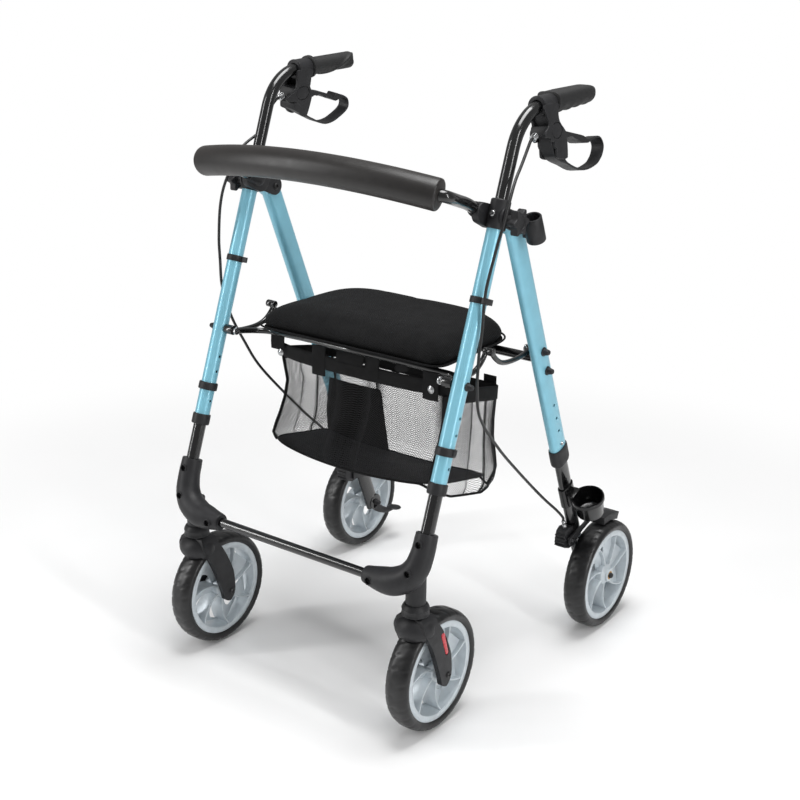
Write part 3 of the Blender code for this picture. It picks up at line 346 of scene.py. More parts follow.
def plate(bm, outline, step, bevel=0.0, segments=3, matrix=None):
    """A flat outline of points given a thickness, with both of its rims rounded."""
    part = bmesh.new()
    face = part.faces.new([part.verts.new(point) for point in outline])
    grown = bmesh.ops.extrude_face_region(part, geom=[face])
    moved = [item for item in grown["geom"] if isinstance(item, bmesh.types.BMVert)]
    bmesh.ops.translate(part, vec=step, verts=moved)
    bmesh.ops.recalc_face_normals(part, faces=part.faces)
    if bevel:
        thickness = Vector(step).normalized()
        rims = []
        for edge in part.edges:
            line = (edge.verts[1].co - edge.verts[0].co).normalized()
            if abs(line.dot(thickness)) < 0.5:
                rims.append(edge)
        round_edges(part, rims, bevel, segments)
    join(bm, part, matrix)


def side_plate(bm, outline, x_from, x_to, bevel=0.0, matrix=None):
    """A plate in a side plane: (y, z) outline between two x positions."""
    plate(bm, [(x_from, y, z) for y, z in outline], (x_to - x_from, 0.0, 0.0), bevel, matrix=matrix)


def turned(bm, profile, origin, axis, steps=48, closed=False):
    """A profile of (radius, height) turned about the axis."""
    part = bmesh.new()
    verts = [part.verts.new((radius, 0.0, height)) for radius, height in profile]
    pairs = list(zip(verts, verts[1:]))
    if closed:
        pairs.append((verts[-1], verts[0]))
    edges = [part.edges.new(pair) for pair in pairs]
    bmesh.ops.spin(
        part, geom=verts + edges, cent=(0, 0, 0), axis=(0, 0, 1), angle=2 * pi, steps=steps,
        use_merge=True,
    )
    bmesh.ops.remove_doubles(part, verts=part.verts, dist=1e-7)
    join(bm, part, along(origin, axis))


def frames_along(path):
    """A frame at each point of a path, its Z along the path and its X turned as little as can be."""
    path = [Vector(point) for point in path]
    frames = []
    side = ACROSS
    for i, point in enumerate(path):
        ahead = path[min(i + 1, len(path) - 1)] - path[max(i - 1, 0)]
        tangent = ahead.normalized()
        if i == 0 and abs(tangent.x) > 0.9:
            side = Vector((0.0, 1.0, 0.0))
        side = (side - tangent * side.dot(tangent)).normalized()
        frames.append(Matrix.Translation(point) @ axes(side, tangent.cross(side), tangent))
    return frames


def sweep(bm, path, radius, sides=28, scales=None, shape=None):
    """A circle extruded along a path. A scale is one factor, or one across and one in depth, for each point.
    """
    frames = frames_along(path)
    placed = []
    for i, place in enumerate(frames):
        scale = scales[i] if scales else 1.0
        wide, deep = scale if isinstance(scale, tuple) else (scale, scale)
        placed.append(place @ Matrix.Diagonal((wide, deep, 1.0, 1.0)))
    part = bmesh.new()
    loop = bmesh.ops.create_circle(part, cap_ends=False, segments=sides, radius=radius)["verts"]
    if shape:
        for vert in loop:
            vert.co = shape(vert.co)
    bmesh.ops.transform(part, matrix=placed[0], verts=loop)
    edges = edges_of(loop)
    bmesh.ops.edgeloop_fill(part, edges=edges)
    for before, after in zip(placed, placed[1:]):
        grown = bmesh.ops.extrude_edge_only(part, edges=edges)["geom"]
        loop = [item for item in grown if isinstance(item, bmesh.types.BMVert)]
        bmesh.ops.transform(part, matrix=after @ before.inverted(), verts=loop)
        edges = edges_of(loop)
    bmesh.ops.edgeloop_fill(part, edges=edges)
    join(bm, part)


def oval(half_depth, half_width):
    """Turns a unit circle into an oval with slightly flattened flanks."""
    return lambda point: Vector((half_width * squared(point.x, 0.8), half_depth * squared(point.y, 0.8), 0.0))


def oval_bar(bm, start, end, half_depth, half_width, sides=48):
    sweep(bm, [start, end], 1.0, sides, shape=oval(half_depth, half_width))


def object_of(bm, name="helper"):
    """A new object in the scene with the mesh, its faces turned outwards."""
    bmesh.ops.recalc_face_normals(bm, faces=bm.faces)
    mesh = bpy.data.meshes.new(name)
    bm.to_mesh(mesh)
    bm.free()
    obj = bpy.data.objects.new(name, mesh)
    bpy.context.scene.collection.objects.link(obj)
    return obj


def combined(bm, other, operation="DIFFERENCE"):
    """The first shape cut by, or joined with, the second."""
    base, tool = object_of(bm), object_of(other)
    boolean = base.modifiers.new("boolean", "BOOLEAN")
    boolean.operation = operation
    boolean.solver = "EXACT"
    boolean.use_self = True
    boolean.object = tool
    result = baked(base)
    for obj in (base, tool):
        bpy.data.objects.remove(obj, do_unlink=True)
    return result


def baked(obj):
    """The mesh that an object's modifiers make, as a new bmesh."""
    bpy.context.view_layer.update()
    graph = bpy.context.evaluated_depsgraph_get()
    mesh = bpy.data.meshes.new_from_object(obj.evaluated_get(graph))
    bm = bmesh.new()
    bm.from_mesh(mesh)
    bpy.data.meshes.remove(mesh)
    return bm


def piece(name, bm, finish, body, stands_for=(), bevel=0.0, angle=38):
    """A finished piece of the object: its mesh, its finish, and the body that it rides on, if only one."""
    obj = object_of(bm, name)
    mesh = obj.data
    mesh.materials.append(finish_of(finish))
    mesh.shade_smooth()
    if bevel:
        rounding = obj.modifiers.new("rounded edges", "BEVEL")
        rounding.width = bevel
        rounding.segments = 2
        rounding.limit_method = "ANGLE"
        rounding.angle_limit = radians(35)
        normals = obj.modifiers.new("even shading", "WEIGHTED_NORMAL")
        normals.keep_sharp = True
    else:
        mesh.set_sharp_from_angle(angle=radians(angle))
    if body:
        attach(obj, body)
    if stands_for:
        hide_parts(*stands_for)
    return obj


def thicken(obj, thickness):
    """Gives a cloth its thickness, half to each side."""
    solid = obj.modifiers.new("thickness", "SOLIDIFY")
    solid.thickness = thickness
    solid.offset = 0.0


# Finishes


def add(tree, kind, settings=None, *sockets, **links):
    """Adds a node, sets its sockets or properties, and links its inputs. An underscore stands for a space."""
    node = tree.nodes.new(kind)
    for key, value in (settings or {}).items():
        if key in node.inputs:
            node.inputs[key].default_value = value
        else:
            setattr(node, key, value)
    for key, socket in (*enumerate(sockets), *links.items()):
        tree.links.new(socket, node.inputs[key.replace("_", " ") if isinstance(key, str) else key])
    return node


def blank(name, **settings):
    """A new material, its node tree, its shader and the Object coordinates."""
    made = bpy.data.materials.new(name)
    made.use_nodes = True
    tree = made.node_tree
    shader = tree.nodes["Principled BSDF"]
    for key, value in settings.items():
        shader.inputs[key.replace("_", " ")].default_value = value
    places = tree.nodes.new("ShaderNodeTexCoord").outputs["Object"]
    return made, tree, shader, places


def tinted(tree, shader, places, colour, spread, size):
    """Colour that varies by a share of itself in patches of a size in metres."""
    patches = add(tree, "ShaderNodeTexNoise", {"Scale": 1 / size, "Detail": 3.0}, Vector=places)
    low = tuple(c * (1 - spread) for c in colour)
    high = tuple(min(1.0, c * (1 + spread)) for c in colour)
    ramp = add(tree, "ShaderNodeValToRGB", None, Fac=patches.outputs["Fac"])
    for stop, position, shade in zip(ramp.color_ramp.elements, (0.35, 0.65), (low, high)):
        stop.position, stop.color = position, (*shade, 1)
    tree.links.new(ramp.outputs["Color"], shader.inputs["Base Color"])
    return ramp


def rough_patches(tree, shader, places, low, high, size):
    """Roughness between two values in patches of a size in metres, as handling leaves it."""
    patches = add(tree, "ShaderNodeTexNoise", {"Scale": 1 / size, "Detail": 4.0}, Vector=places)
    limits = {"From Min": 0.3, "From Max": 0.7, "To Min": low, "To Max": high}
    ranged = add(tree, "ShaderNodeMapRange", limits, Value=patches.outputs["Fac"])
    tree.links.new(ranged.outputs["Result"], shader.inputs["Roughness"])


def grained(tree, shader, height, strength, distance):
    """Bump from a height socket. Distance is the relief's depth in metres."""
    bump = add(tree, "ShaderNodeBump", {"Strength": strength, "Distance": distance}, Height=height)
    tree.links.new(bump.outputs["Normal"], shader.inputs["Normal"])


def finish(name, colour, spread, patch, rough, grain=None, distortion=0.0, **settings):
    """A material, with sizes in mm: colour that varies by spread in patches, roughness as (low, high, patch),
    and a grain as (size, detail, strength, depth).
    """
    made, tree, shader, places = blank(name, **settings)
    tinted(tree, shader, places, colour, spread, patch / 1000)
    low, high, patch = rough
    rough_patches(tree, shader, places, low, high, patch / 1000)
    if grain:
        size, detail, strength, depth = grain
        wanted = {"Scale": 1000 / size, "Detail": detail, "Distortion": distortion}
        noise = add(tree, "ShaderNodeTexNoise", wanted, Vector=places)
        grained(tree, shader, noise.outputs["Fac"], strength, depth / 1000)
    return made


def make_finishes(colours):
    """All materials by the name of their finish."""
    made = {}
    # Satin metallic powder coat on aluminium tube: a soft sheen with a faint orange-peel
    made["blue"] = finish(
        "powder_coated_aluminium", colours.frame_blue, 0.04, 30, (0.3, 0.38, 20), (2.2, 2, 0.1, 0.2),
        Metallic=0.2, Coat_Weight=0.45, Coat_Roughness=0.1,
    )
    # Gloss stove enamel on steel tube: near black with sharp highlights
    made["enamel"] = finish(
        "black_enamelled_steel", colours.tube_black, 0.12, 25, (0.16, 0.26, 18), (3, 2, 0.06, 0.2),
        Coat_Weight=0.5, Coat_Roughness=0.06,
    )
    # Glass-filled nylon, moulded in a spark-eroded tool: an even fine grain with a dull sheen.
    # The real grain is about 0.2 mm, drawn at 1.1 mm so that it shows
    made["nylon"] = finish(
        "glass_filled_nylon", colours.moulding, 0.1, 12, (0.42, 0.56, 15), (1.1, 3, 0.16, 0.4),
        Specular_IOR_Level=0.36,
    )
    # Polished ABS of the stick holder: black with clear reflections
    made["gloss"] = finish("polished_abs", linear("#0E0E0F"), 0.1, 12, (0.14, 0.24, 15), (4, 2, 0.05, 0.2))
    # Soft thermoplastic rubber of the hand grips: matt with a slight bloom
    made["grip"] = finish(
        "thermoplastic_rubber", linear("#19191A"), 0.1, 16, (0.52, 0.66, 12), (1.4, 3, 0.18, 0.4),
    )
    # Tyre of black polyurethane: dark and slightly glossy where it has rolled
    made["tyre"] = finish(
        "polyurethane_tyre", linear("#131314"), 0.14, 20, (0.28, 0.46, 10), (1.6, 3, 0.15, 0.4),
    )
    # Silver pigmented polypropylene of the rims: satin, with faint flow marks
    made["rim"] = finish(
        "silver_polypropylene", colours.wheel_silver, 0.05, 14, (0.3, 0.42, 12), (3.5, 2, 0.08, 0.3), 0.6,
        Metallic=0.25,
    )
    # Red polycarbonate insert of the forks: clear depth under a gloss skin
    made["red"] = finish(
        "red_polycarbonate", colours.reflector_red, 0.08, 6, (0.25, 0.34, 6), (1.2, 2, 0.06, 0.2),
        Coat_Weight=0.3,
    )
    # Zinc plated steel of bolts, snaps and buttons: bright with fine turning marks
    made["zinc"] = finish(
        "zinc_plated_steel", linear("#B9BABB"), 0.08, 4, (0.2, 0.34, 4), (1, 2, 0.1, 0.2), Metallic=1.0
    )
    # Brass of the clamp nuts: warm and dulled by handling
    made["brass"] = finish("turned_brass", linear("#B08A4A"), 0.1, 4, (0.24, 0.36, 4), Metallic=1.0)
    # Closed-cell foam sleeve: dark with a soft brownish sheen along its top
    made["foam"] = finish(
        "nitrile_foam", linear("#1D1B1A"), 0.1, 20, (0.36, 0.44, 16), (1.6, 4, 0.16, 0.4),
        Sheen_Weight=0.12, Sheen_Roughness=0.45, Sheen_Tint=(*linear("#8A7C74"), 1),
    )
    # Air mesh of the seat, woven webbing of the straps and coated cloth of the basket's floor: dull, threads
    # showing
    made["seat_cloth"] = woven("air_mesh_cloth", colours.seat_black, 0.0044, 0.85, 0.6, 0.75)
    made["webbing"] = woven("polypropylene_webbing", linear("#0C0C0D"), 0.0026, 0.75, 0.4, 0.2)
    made["basket_floor"] = woven("coated_polyester", linear("#3C3C3E"), 0.0046, 0.62, 0.45, 0.55)
    # Polyester thread of the basket mesh, too thin for a pattern of its own
    made["thread"] = finish("polyester_thread", linear("#1E1E20"), 0.35, 4, (0.6, 0.8, 4))
    # Cable sheath of black PVC: a smooth skin with a soft shine
    made["sheath"] = finish("pvc_sheath", linear("#161617"), 0.1, 10, (0.34, 0.46, 8), (1.6, 2, 0.08, 0.2))
    return made


def woven(name, colour, pitch, roughness, depth, contrast):
    """Cloth of crossing threads. Pitch is the distance between threads, drawn coarse enough to show."""
    # Light gets lost between the threads, so less of it is mirrored than by a solid skin
    sheen = {"Sheen_Weight": 0.03, "Sheen_Roughness": 0.5, "Sheen_Tint": (*linear("#8A8A8C"), 1)}
    material, tree, shader, places = blank(name, Specular_IOR_Level=0.22, **sheen)
    ramp = tinted(tree, shader, places, colour, contrast, 0.018)
    rough_patches(tree, shader, places, roughness - 0.06, roughness + 0.06, 0.02)
    split = add(tree, "ShaderNodeSeparateXYZ", None, places)
    # Threads run across in X and the other way in the sum of depth and height, so they show on every face
    fall = add(tree, "ShaderNodeMath", {"operation": "ADD"}, split.outputs["Y"], split.outputs["Z"])
    waves = []
    for socket in (split.outputs["X"], fall.outputs["Value"]):
        scaled = add(tree, "ShaderNodeMath", {"operation": "MULTIPLY"}, socket)
        scaled.inputs[1].default_value = 2 * pi / pitch
        waves.append(
            add(tree, "ShaderNodeMath", {"operation": "SINE"}, scaled.outputs["Value"]).outputs["Value"]
        )
    product = add(tree, "ShaderNodeMath", {"operation": "MULTIPLY"}, *waves).outputs["Value"]
    ranged = add(tree, "ShaderNodeMapRange", {"From Min": -1.0, "From Max": 1.0}, Value=product)
    tree.links.new(ranged.outputs["Result"], ramp.inputs["Fac"])
    grained(tree, shader, product, depth, 0.0005)
    return material


FINISH = {}


def finish_of(name):
    if not FINISH:
        FINISH.update(make_finishes(bpy.context.scene.rollator_colours))
    return FINISH[name]


# Side frames


def make_front_legs(sizes):
    for side in SIDES:
        bottom = on_front(FRONT_LEG_Z[0], side)
        length = (FRONT_LEG_Z[1] - FRONT_LEG_Z[0]) / FRONT_UP.z
        outer, inner = sizes.leg_radius, sizes.leg_radius - 0.0016
        bm = shaped(
            turned, [(inner, 0.0), (inner, length), (outer, length), (outer, 0.0)], bottom, FRONT_UP,
            closed=True,
        )
        holes = bmesh.new()
        for z in FRONT_HOLE_Z:
            centre = on_front(z, side)
            cylinder(holes, centre + ACROSS * 0.004, centre + ACROSS * 0.016, 0.0026, sides=20)
        tube = combined(bm, holes)
        piece("front_leg_tube_" + side, tube, "blue", "frame", ["front_leg_" + side])
        make_seat_pivot(side)
        make_leg_rings(side)


def make_seat_pivot(side):
    """Bolt through the front leg, its low head inside and a black cap nut outside."""
    bm = shaped(pin, SEAT_PIVOT, side, -0.036, 0.012, 0.004, sides=24)
    pin(bm, SEAT_PIVOT, side, -0.0385, -0.0352, 0.0065, bevel=0.0008)
    piece("seat_pivot_bolt_" + side, bm, "zinc", "frame", ["front_leg_" + side])
    bm = shaped(cap_nut, on_side(SEAT_PIVOT, side, 0.0124), ACROSS * SIDES[side], 0.78)
    piece("seat_pivot_cap_" + side, bm, "nylon", "frame")


def cap_nut(bm, base, axis, size=1.0):
    """Black plastic nut cover: a flange, a hexagonal-looking cone and a rounded tip."""
    profile = mm(
        (0, 0), (8.6, 0), (8.9, 0.8), (8.6, 2.2), (7.2, 3), (6.6, 5), (5.4, 10.8), (4.6, 12.8), (3, 13.9),
        (0, 14.2),
    )
    turned(bm, [(r * size, h * size) for r, h in profile], base, axis, steps=32)


def make_leg_rings(side):
    """Collar at the foot of the blue tube, and the clamp ring above the button holes."""
    collar = mm(
        (11.2, 0), (14.2, 0), (15, 0.8), (15.2, 3), (15.2, 15), (14.8, 17.4), (14, 18), (13, 18), (13, 4),
        (11.2, 4),
    )
    bm = shaped(turned, collar, on_front(0.408, side), FRONT_UP, closed=True)
    piece("leg_end_collar_" + side, bm, "nylon", "frame", ["front_leg_collar_" + side])
    ring = mm((13, 0), (15, 0), (15.9, 0.7), (16.1, 2), (16.1, 10), (15.8, 12), (15, 13), (13, 13))
    bm = shaped(turned, ring, on_front(0.464, side), FRONT_UP, closed=True)
    lug = along(on_front(0.4712, side), FRONT_UP)
    block(
        bm, (0.0148 * SIDES[side] - 0.003, -0.0045, -0.005), (0.0148 * SIDES[side] + 0.003, 0.0045, 0.005),
        lug, 0.001,
    )
    piece("leg_clamp_ring_" + side, bm, "nylon", "frame", ["front_lock_ring_" + side])


# Top brackets


def backrest_path(steps=6, count=24):
    """Centre line of the right half of the backrest tube, from its end in the bracket to the middle."""
    ends = mm(
        (221.5, -113, 807.3), (222, -133, 817.4), (224.5, -160, 830), (228.5, -190, 839.5), (234, -215, 847),
        (234.5, -229, 851.5), (224, -236, 854),
    )
    path = smooth_path(ends, steps)[:-1]
    for i in range(count + 1):
        x = 0.224 * (1 - i / count)
        path.append(Vector((x, *backrest_bow(x))))
    return path


def backrest_bow(x):
    share = 1 - (x / 0.2311) ** 2
    return -0.2334 - 0.0301 * share, 0.8527 + 0.0203 * share


def whole_backrest():
    half = backrest_path()
    return half + [mirrored(point, -1) for point in reversed(half[:-1])]


def make_top_brackets():
    for side, sign in SIDES.items():
        low, high = on_front(0.788, side), on_front(0.83, side)
        length = (high - low).length
        sleeve = [
            (0.013, 0.0), (0.0144, 0.0), (0.0154, 0.001), (0.0156, length * 0.5), (0.0154, length - 0.0016),
            (0.014, length), (0.0108, length), (0.0108, length - 0.004), (0.013, length - 0.0045),
        ]
        bm = shaped(turned, sleeve, low, FRONT_UP, closed=True)
        near = (-0.108, 0.8065)
        cheek = stadium(near, FOLD_PIVOT, 0.0145, 0.0155)
        side_plate(bm, cheek, sign * 0.2297, sign * 0.2335, bevel=0.001)
        side_plate(bm, cheek, sign * 0.2565, sign * 0.2603, bevel=0.001)
        web = stadium((-0.129, 0.813), (-0.108, 0.805), 0.016, 0.018)
        side_plate(bm, web, sign * 0.2215, sign * 0.2337, bevel=0.0015)
        # Screw boss on the front face
        front = on_front(0.808, side)
        forward = Vector((0.0, -1.0, FRONT_LEAN)).normalized()
        cylinder(bm, front + forward * 0.012, front + forward * 0.0172, 0.0062, bevel=0.001)
        piece("bracket_shell_" + side, bm, "nylon", "frame", ["top_bracket_" + side])
        make_bracket_lug(side, sign)
        make_bracket_screws(side, sign, front + forward * 0.0172, forward)


def make_bracket_lug(side, sign):
    """Rounded sleeve on the bracket's inner face that holds the end of the backrest tube."""
    path = [mirrored(point, sign) for point in backrest_path()[:18]]
    bm = shaped(sweep, path[:9], 0.012, sides=32, scales=[0.86, 0.97, *[1.0] * 5, 0.97, 0.86])
    hole = shaped(sweep, path, 0.0094, sides=28)
    piece("bracket_lug_" + side, combined(bm, hole), "nylon", "frame")


BRASS_FROM_PIVOT = (0.0, -0.0375, 0.012)


def make_bracket_screws(side, sign, head, forward):
    """Silver screw on the front, and the fold pivot with its brass nut."""
    bm = shaped(socket_screw, head - forward * 0.0006, forward, 0.0044)
    pin(bm, FOLD_PIVOT, side, -0.014, 0.0153, 0.004, sides=24)
    socket_screw(bm, on_side(FOLD_PIVOT, side, 0.015), ACROSS * sign, 0.006)
    piece("bracket_screw_" + side, bm, "zinc", "frame")
    inner = on_side(FOLD_PIVOT, side, -0.0152)
    bm = shaped(socket_screw, inner, ACROSS * -sign, 0.0056)
    piece("bracket_pivot_head_" + side, bm, "sheath", "frame")
    inner += Vector(BRASS_FROM_PIVOT)
    bm = shaped(cylinder, inner, inner - ACROSS * sign * 0.0056, 0.0034, sides=6, bevel=0.0003)
    piece("bracket_nut_" + side, bm, "brass", "frame")


def socket_screw(bm, base, axis, radius):
    """Round head with a countersunk socket."""
    profile = [
        (0.0, 0.0), (radius, 0.0), (radius, radius * 0.35), (radius * 0.85, radius * 0.5),
        (radius * 0.5, radius * 0.52), (radius * 0.44, radius * 0.15), (0.0, radius * 0.1),
    ]
    turned(bm, profile, base, axis, steps=24)


def make_star_knobs():
    for side, sign in SIDES.items():
        count = 96
        outline = []
        for i in range(count):
            angle = 2 * pi * i / count
            radius = 0.0176 + 0.0034 * cos(6 * angle) + 0.0004 * cos(12 * angle)
            outline.append((KNOB[0] + radius * cos(angle), KNOB[1] + radius * sin(angle)))
        bm = shaped(side_plate, outline, sign * 0.2735, sign * 0.2868, bevel=0.0018)
        base = on_side(KNOB, side, 0.016)
        cylinder(bm, base, base + ACROSS * sign * 0.014, 0.0088, sides=36, bevel=0.0008)
        dish = bmesh.new()
        top = on_side(KNOB, side, 0.0418)
        cylinder(dish, top - ACROSS * sign * 0.0016, top + ACROSS * sign * 0.004, 0.0098, 0.012, sides=40)
        knob = combined(bm, dish)
        piece("clamp_knob_" + side, knob, "nylon", "star_knob_" + side, ["star_knob_" + side], bevel=0.0004)


def make_stick_loop():
    """D-shaped loop on the outer side of the right bracket, open from top to bottom."""
    centre = Vector((0.279, -0.0585, 0.785))
    axis_low = centre - REAR_UP * 0.021
    profile = mm(
        (11.4, 40.8), (12.2, 41.8), (13.8, 41.8), (14.6, 40.8), (15, 21), (15, 1.4), (14.2, 0), (12.2, 0),
        (11.4, 1),
    )
    bm = shaped(turned, profile, axis_low, REAR_UP, closed=True)
    block(bm, (-0.0182, -0.009, -0.014), (-0.012, 0.009, 0.014), along(centre, REAR_UP), 0.0012)
    piece("walking_stick_loop", bm, "nylon", "frame", ["stick_loop"])


def make_backrest(sizes):
    bm = shaped(sweep, whole_backrest(), 0.0092, sides=32)
    piece("backrest_hoop", bm, "enamel", "frame", ["backrest_tube"])
    # Cut square at its ends, with a small round where the knife and the oven leave it
    ends = [0.227, 0.2267, 0.2259, 0.2247, 0.223]
    places = [-x for x in ends] + [0.223 * i / 30 for i in range(-29, 30)] + ends[::-1]
    points = [(x, *backrest_bow(x)) for x in places]
    rounds = [0.86, 0.925, 0.965, 0.99, 1.0]
    scales = rounds + [1.0] * 59 + rounds[::-1]
    bm = shaped(sweep, points, sizes.backrest_radius, sides=48, scales=scales)
    foam = piece("backrest_foam", bm, "foam", "frame", ["backrest_pad"])


# Handles


def handle_shift(side):
    return -FRONT_UP * HANDLE_DROP[side]


def grip_axis_z(side):
    """Height of the grip axis at y = 0."""
    shift = handle_shift(side)
    corner_y, corner_z = HANDLE_CORNER
    return corner_z + shift.z - GRIP_RISE * (corner_y + shift.y)


def grip_point(side, y):
    return on_side((y, grip_axis_z(side) + GRIP_RISE * y), side)


def handle_path(side, end_y, count=20):
    shift = handle_shift(side)
    corner = on_side(HANDLE_CORNER, side) + shift
    half_turn = FRONT_UP.angle(GRIP_BACK) / 2
    reach = HANDLE_BEND_R * tan(half_turn)
    start = corner - FRONT_UP * reach
    normal = (GRIP_BACK - FRONT_UP * FRONT_UP.dot(GRIP_BACK)).normalized()
    centre = start + normal * HANDLE_BEND_R
    points = [on_front(HANDLE_FOOT_Z + shift.z, side)]
    for i in range(count + 1):
        angle = 2 * half_turn * i / count
        sweep_to = FRONT_UP * HANDLE_BEND_R * sin(angle) - normal * HANDLE_BEND_R * cos(angle)
        points.append(centre + sweep_to)
    points.append(grip_point(side, end_y))
    return points


def make_handles(sizes):
    for side in SIDES:
        bm = shaped(sweep, handle_path(side, 0.15), sizes.handle_radius, sides=40)
        piece("handle_bar_" + side, bm, "enamel", "handle_" + side, ["handle_tube_" + side])
        make_grip(side)


def make_grip(side):
    """Rubber grip: the left one round with a slanting ridge, the right one with a flat palm and finger
    grooves.
    """
    low, high = GRIP_Y[side]
    start = grip_point(side, low)
    length = (high - low) * hypot(1.0, GRIP_RISE)
    place = along(start, GRIP_BACK)
    radius_at = left_grip_radius if side == "left" else right_grip_radius
    stations = [0.0, 0.004, 0.01, 0.05, 0.062, 0.07]
    stations += [0.09 + 0.83 * i / 52 for i in range(53)]
    stations += [0.94, 0.956, 0.97, 0.981, 0.99, 0.996, 1.0]
    rings = []
    for share in stations:
        ring = []
        for i in range(96):
            angle = 2 * pi * i / 96
            radius = radius_at(share, angle)
            ring.append(place @ Vector((radius * cos(angle), radius * sin(angle), length * share)))
        rings.append(ring)
    bm = shaped(lofted, rings)
    grip = combined(
        bm, shaped(cylinder, start - GRIP_BACK * 0.01, start + GRIP_BACK * 0.102, 0.0103, sides=40),
    )
    piece("hand_grip_" + side, grip, "grip", "handle_" + side, ["grip_" + side])


def rounded_end(share, begin=0.93):
    """Factor that closes a grip towards its rear end."""
    if share < begin:
        return 1.0
    return 0.52 + 0.48 * sqrt(max(0.0, 1 - ((share - begin) / (1 - begin)) ** 2))


def flange(share, height, end=0.066):
    """Ring at the front end of a grip, with rounded rims."""
    if share > end:
        return 0.0
    middle = end / 2
    return height * max(0.0, 1 - (abs(share - middle) / middle) ** 6) ** 0.5


def left_grip_radius(share, angle):
    """Round grip with a soft ridge that winds from its underside to its top. Angles run from +X to the
    underside.
    """
    ridge = radians(100 - 215 * (share - 0.28))
    behind = (angle - ridge + pi) % (2 * pi) - pi
    fade = min(1.0, max(0.0, (share - 0.2) / 0.08))
    rise = 0.0024 * fade * exp(-((behind / 0.2) ** 2))
    hollow = 0.002 * fade * exp(-(((behind - 0.75) / 0.4) ** 2))
    body = 0.0149 - 0.0005 * share + rise - hollow
    return body * rounded_end(share, 0.965) + flange(share, 0.0042, 0.068)


def right_grip_radius(share, angle):
    """Fuller grip: a broad flat on top for the palm, out to the far side, and four finger grooves below."""
    taper = max(0.0, min(1.0, (share - 0.3) / 0.6))
    across, up = 0.0166 - 0.001 * taper, 0.0164 - 0.0014 * taper
    c, s = cos(angle), sin(angle)
    power = 2.0
    if s < 0:
        power = 3.4 if c > 0 else 5.0
        if c < 0:
            across = 0.0225 - 0.006 * taper
    elif c < 0:
        across = 0.0225 - 0.006 * taper
    body = ((abs(c) / across) ** power + (abs(s) / up) ** power) ** (-1 / power)
    if 0.14 < share < 0.9:
        body += 0.001 * max(0.0, s) * (cos(2 * pi * 3.5 * (share - 0.14) / 0.76) - 1)
    return body * rounded_end(share, 0.8) + flange(share, 0.0012, 0.05)


def brake_frame(side):
    """Frame of the brake assembly: origin on the grip axis at y = 0, tilted outwards about it."""
    tilt = Matrix.Rotation(-SIDES[side] * BRAKE_TILT, 4, "Y")
    return Matrix.Translation(on_side((0.0, grip_axis_z(side)), side)) @ tilt


def rounded_outline(points, steps=3):
    """A closed outline with its corners on a smooth curve, thinned to even steps."""
    points = [Vector((y, z, 0.0)) for y, z in points]
    path = []
    for i in range(len(points)):
        four = [points[(i + k - 1) % len(points)] for k in range(4)]
        path += [curve_point(*four, j / steps) for j in range(steps)]
    return [(point.x, point.y) for point in path]


def brake_plate(bm, side, outline, x_from, x_to, bevel=0.0012, steps=3):
    """A plate in the brake frame from (y, depth below the grip axis) points."""
    down = [(y, -depth) for y, depth in outline]
    shape = rounded_outline(down, steps) if steps > 1 else down
    side_plate(bm, shape, x_from, x_to, bevel, matrix=brake_frame(side))


def brake_cylinder(bm, side, y, depth, x_from, x_to, radius, bevel=0.0):
    frame_at = brake_frame(side)
    cylinder(
        bm, frame_at @ Vector((x_from, y, -depth)), frame_at @ Vector((x_to, y, -depth)), radius, bevel=bevel,
    )


CHEEK = {
    "left": mm(
        (-3.5, -1), (33.5, -1), (34, 10), (30.5, 16.5), (30.8, 27.5), (36.5, 36.5), (38.5, 47), (31, 76),
        (24, 80), (13.7, 76.7), (7.2, 71.4), (-4, 67), (-6.5, 62), (-6.5, 54.5), (-3, 52.5), (-24, 50),
        (-25, 43), (-6, 33), (-3.3, 19),
    ),
    "right": mm(
        (-13.8, -1), (26.8, -1), (25, 11.8), (27.6, 26.3), (42, 40.5), (45.8, 52), (45, 79), (40, 83.8),
        (25, 83), (14, 79), (12.5, 72), (12, 56), (-2, 54.5), (-2, 49), (-16.5, 45.5), (-15.6, 37.5),
        (-3.5, 28.5), (-8.8, 15.3),
    ),
}
BUTTON = {"left": (0.0135, 0.038, 0.016, 0.0112), "right": (0.0166, 0.0388, 0.0148, 0.0115)}


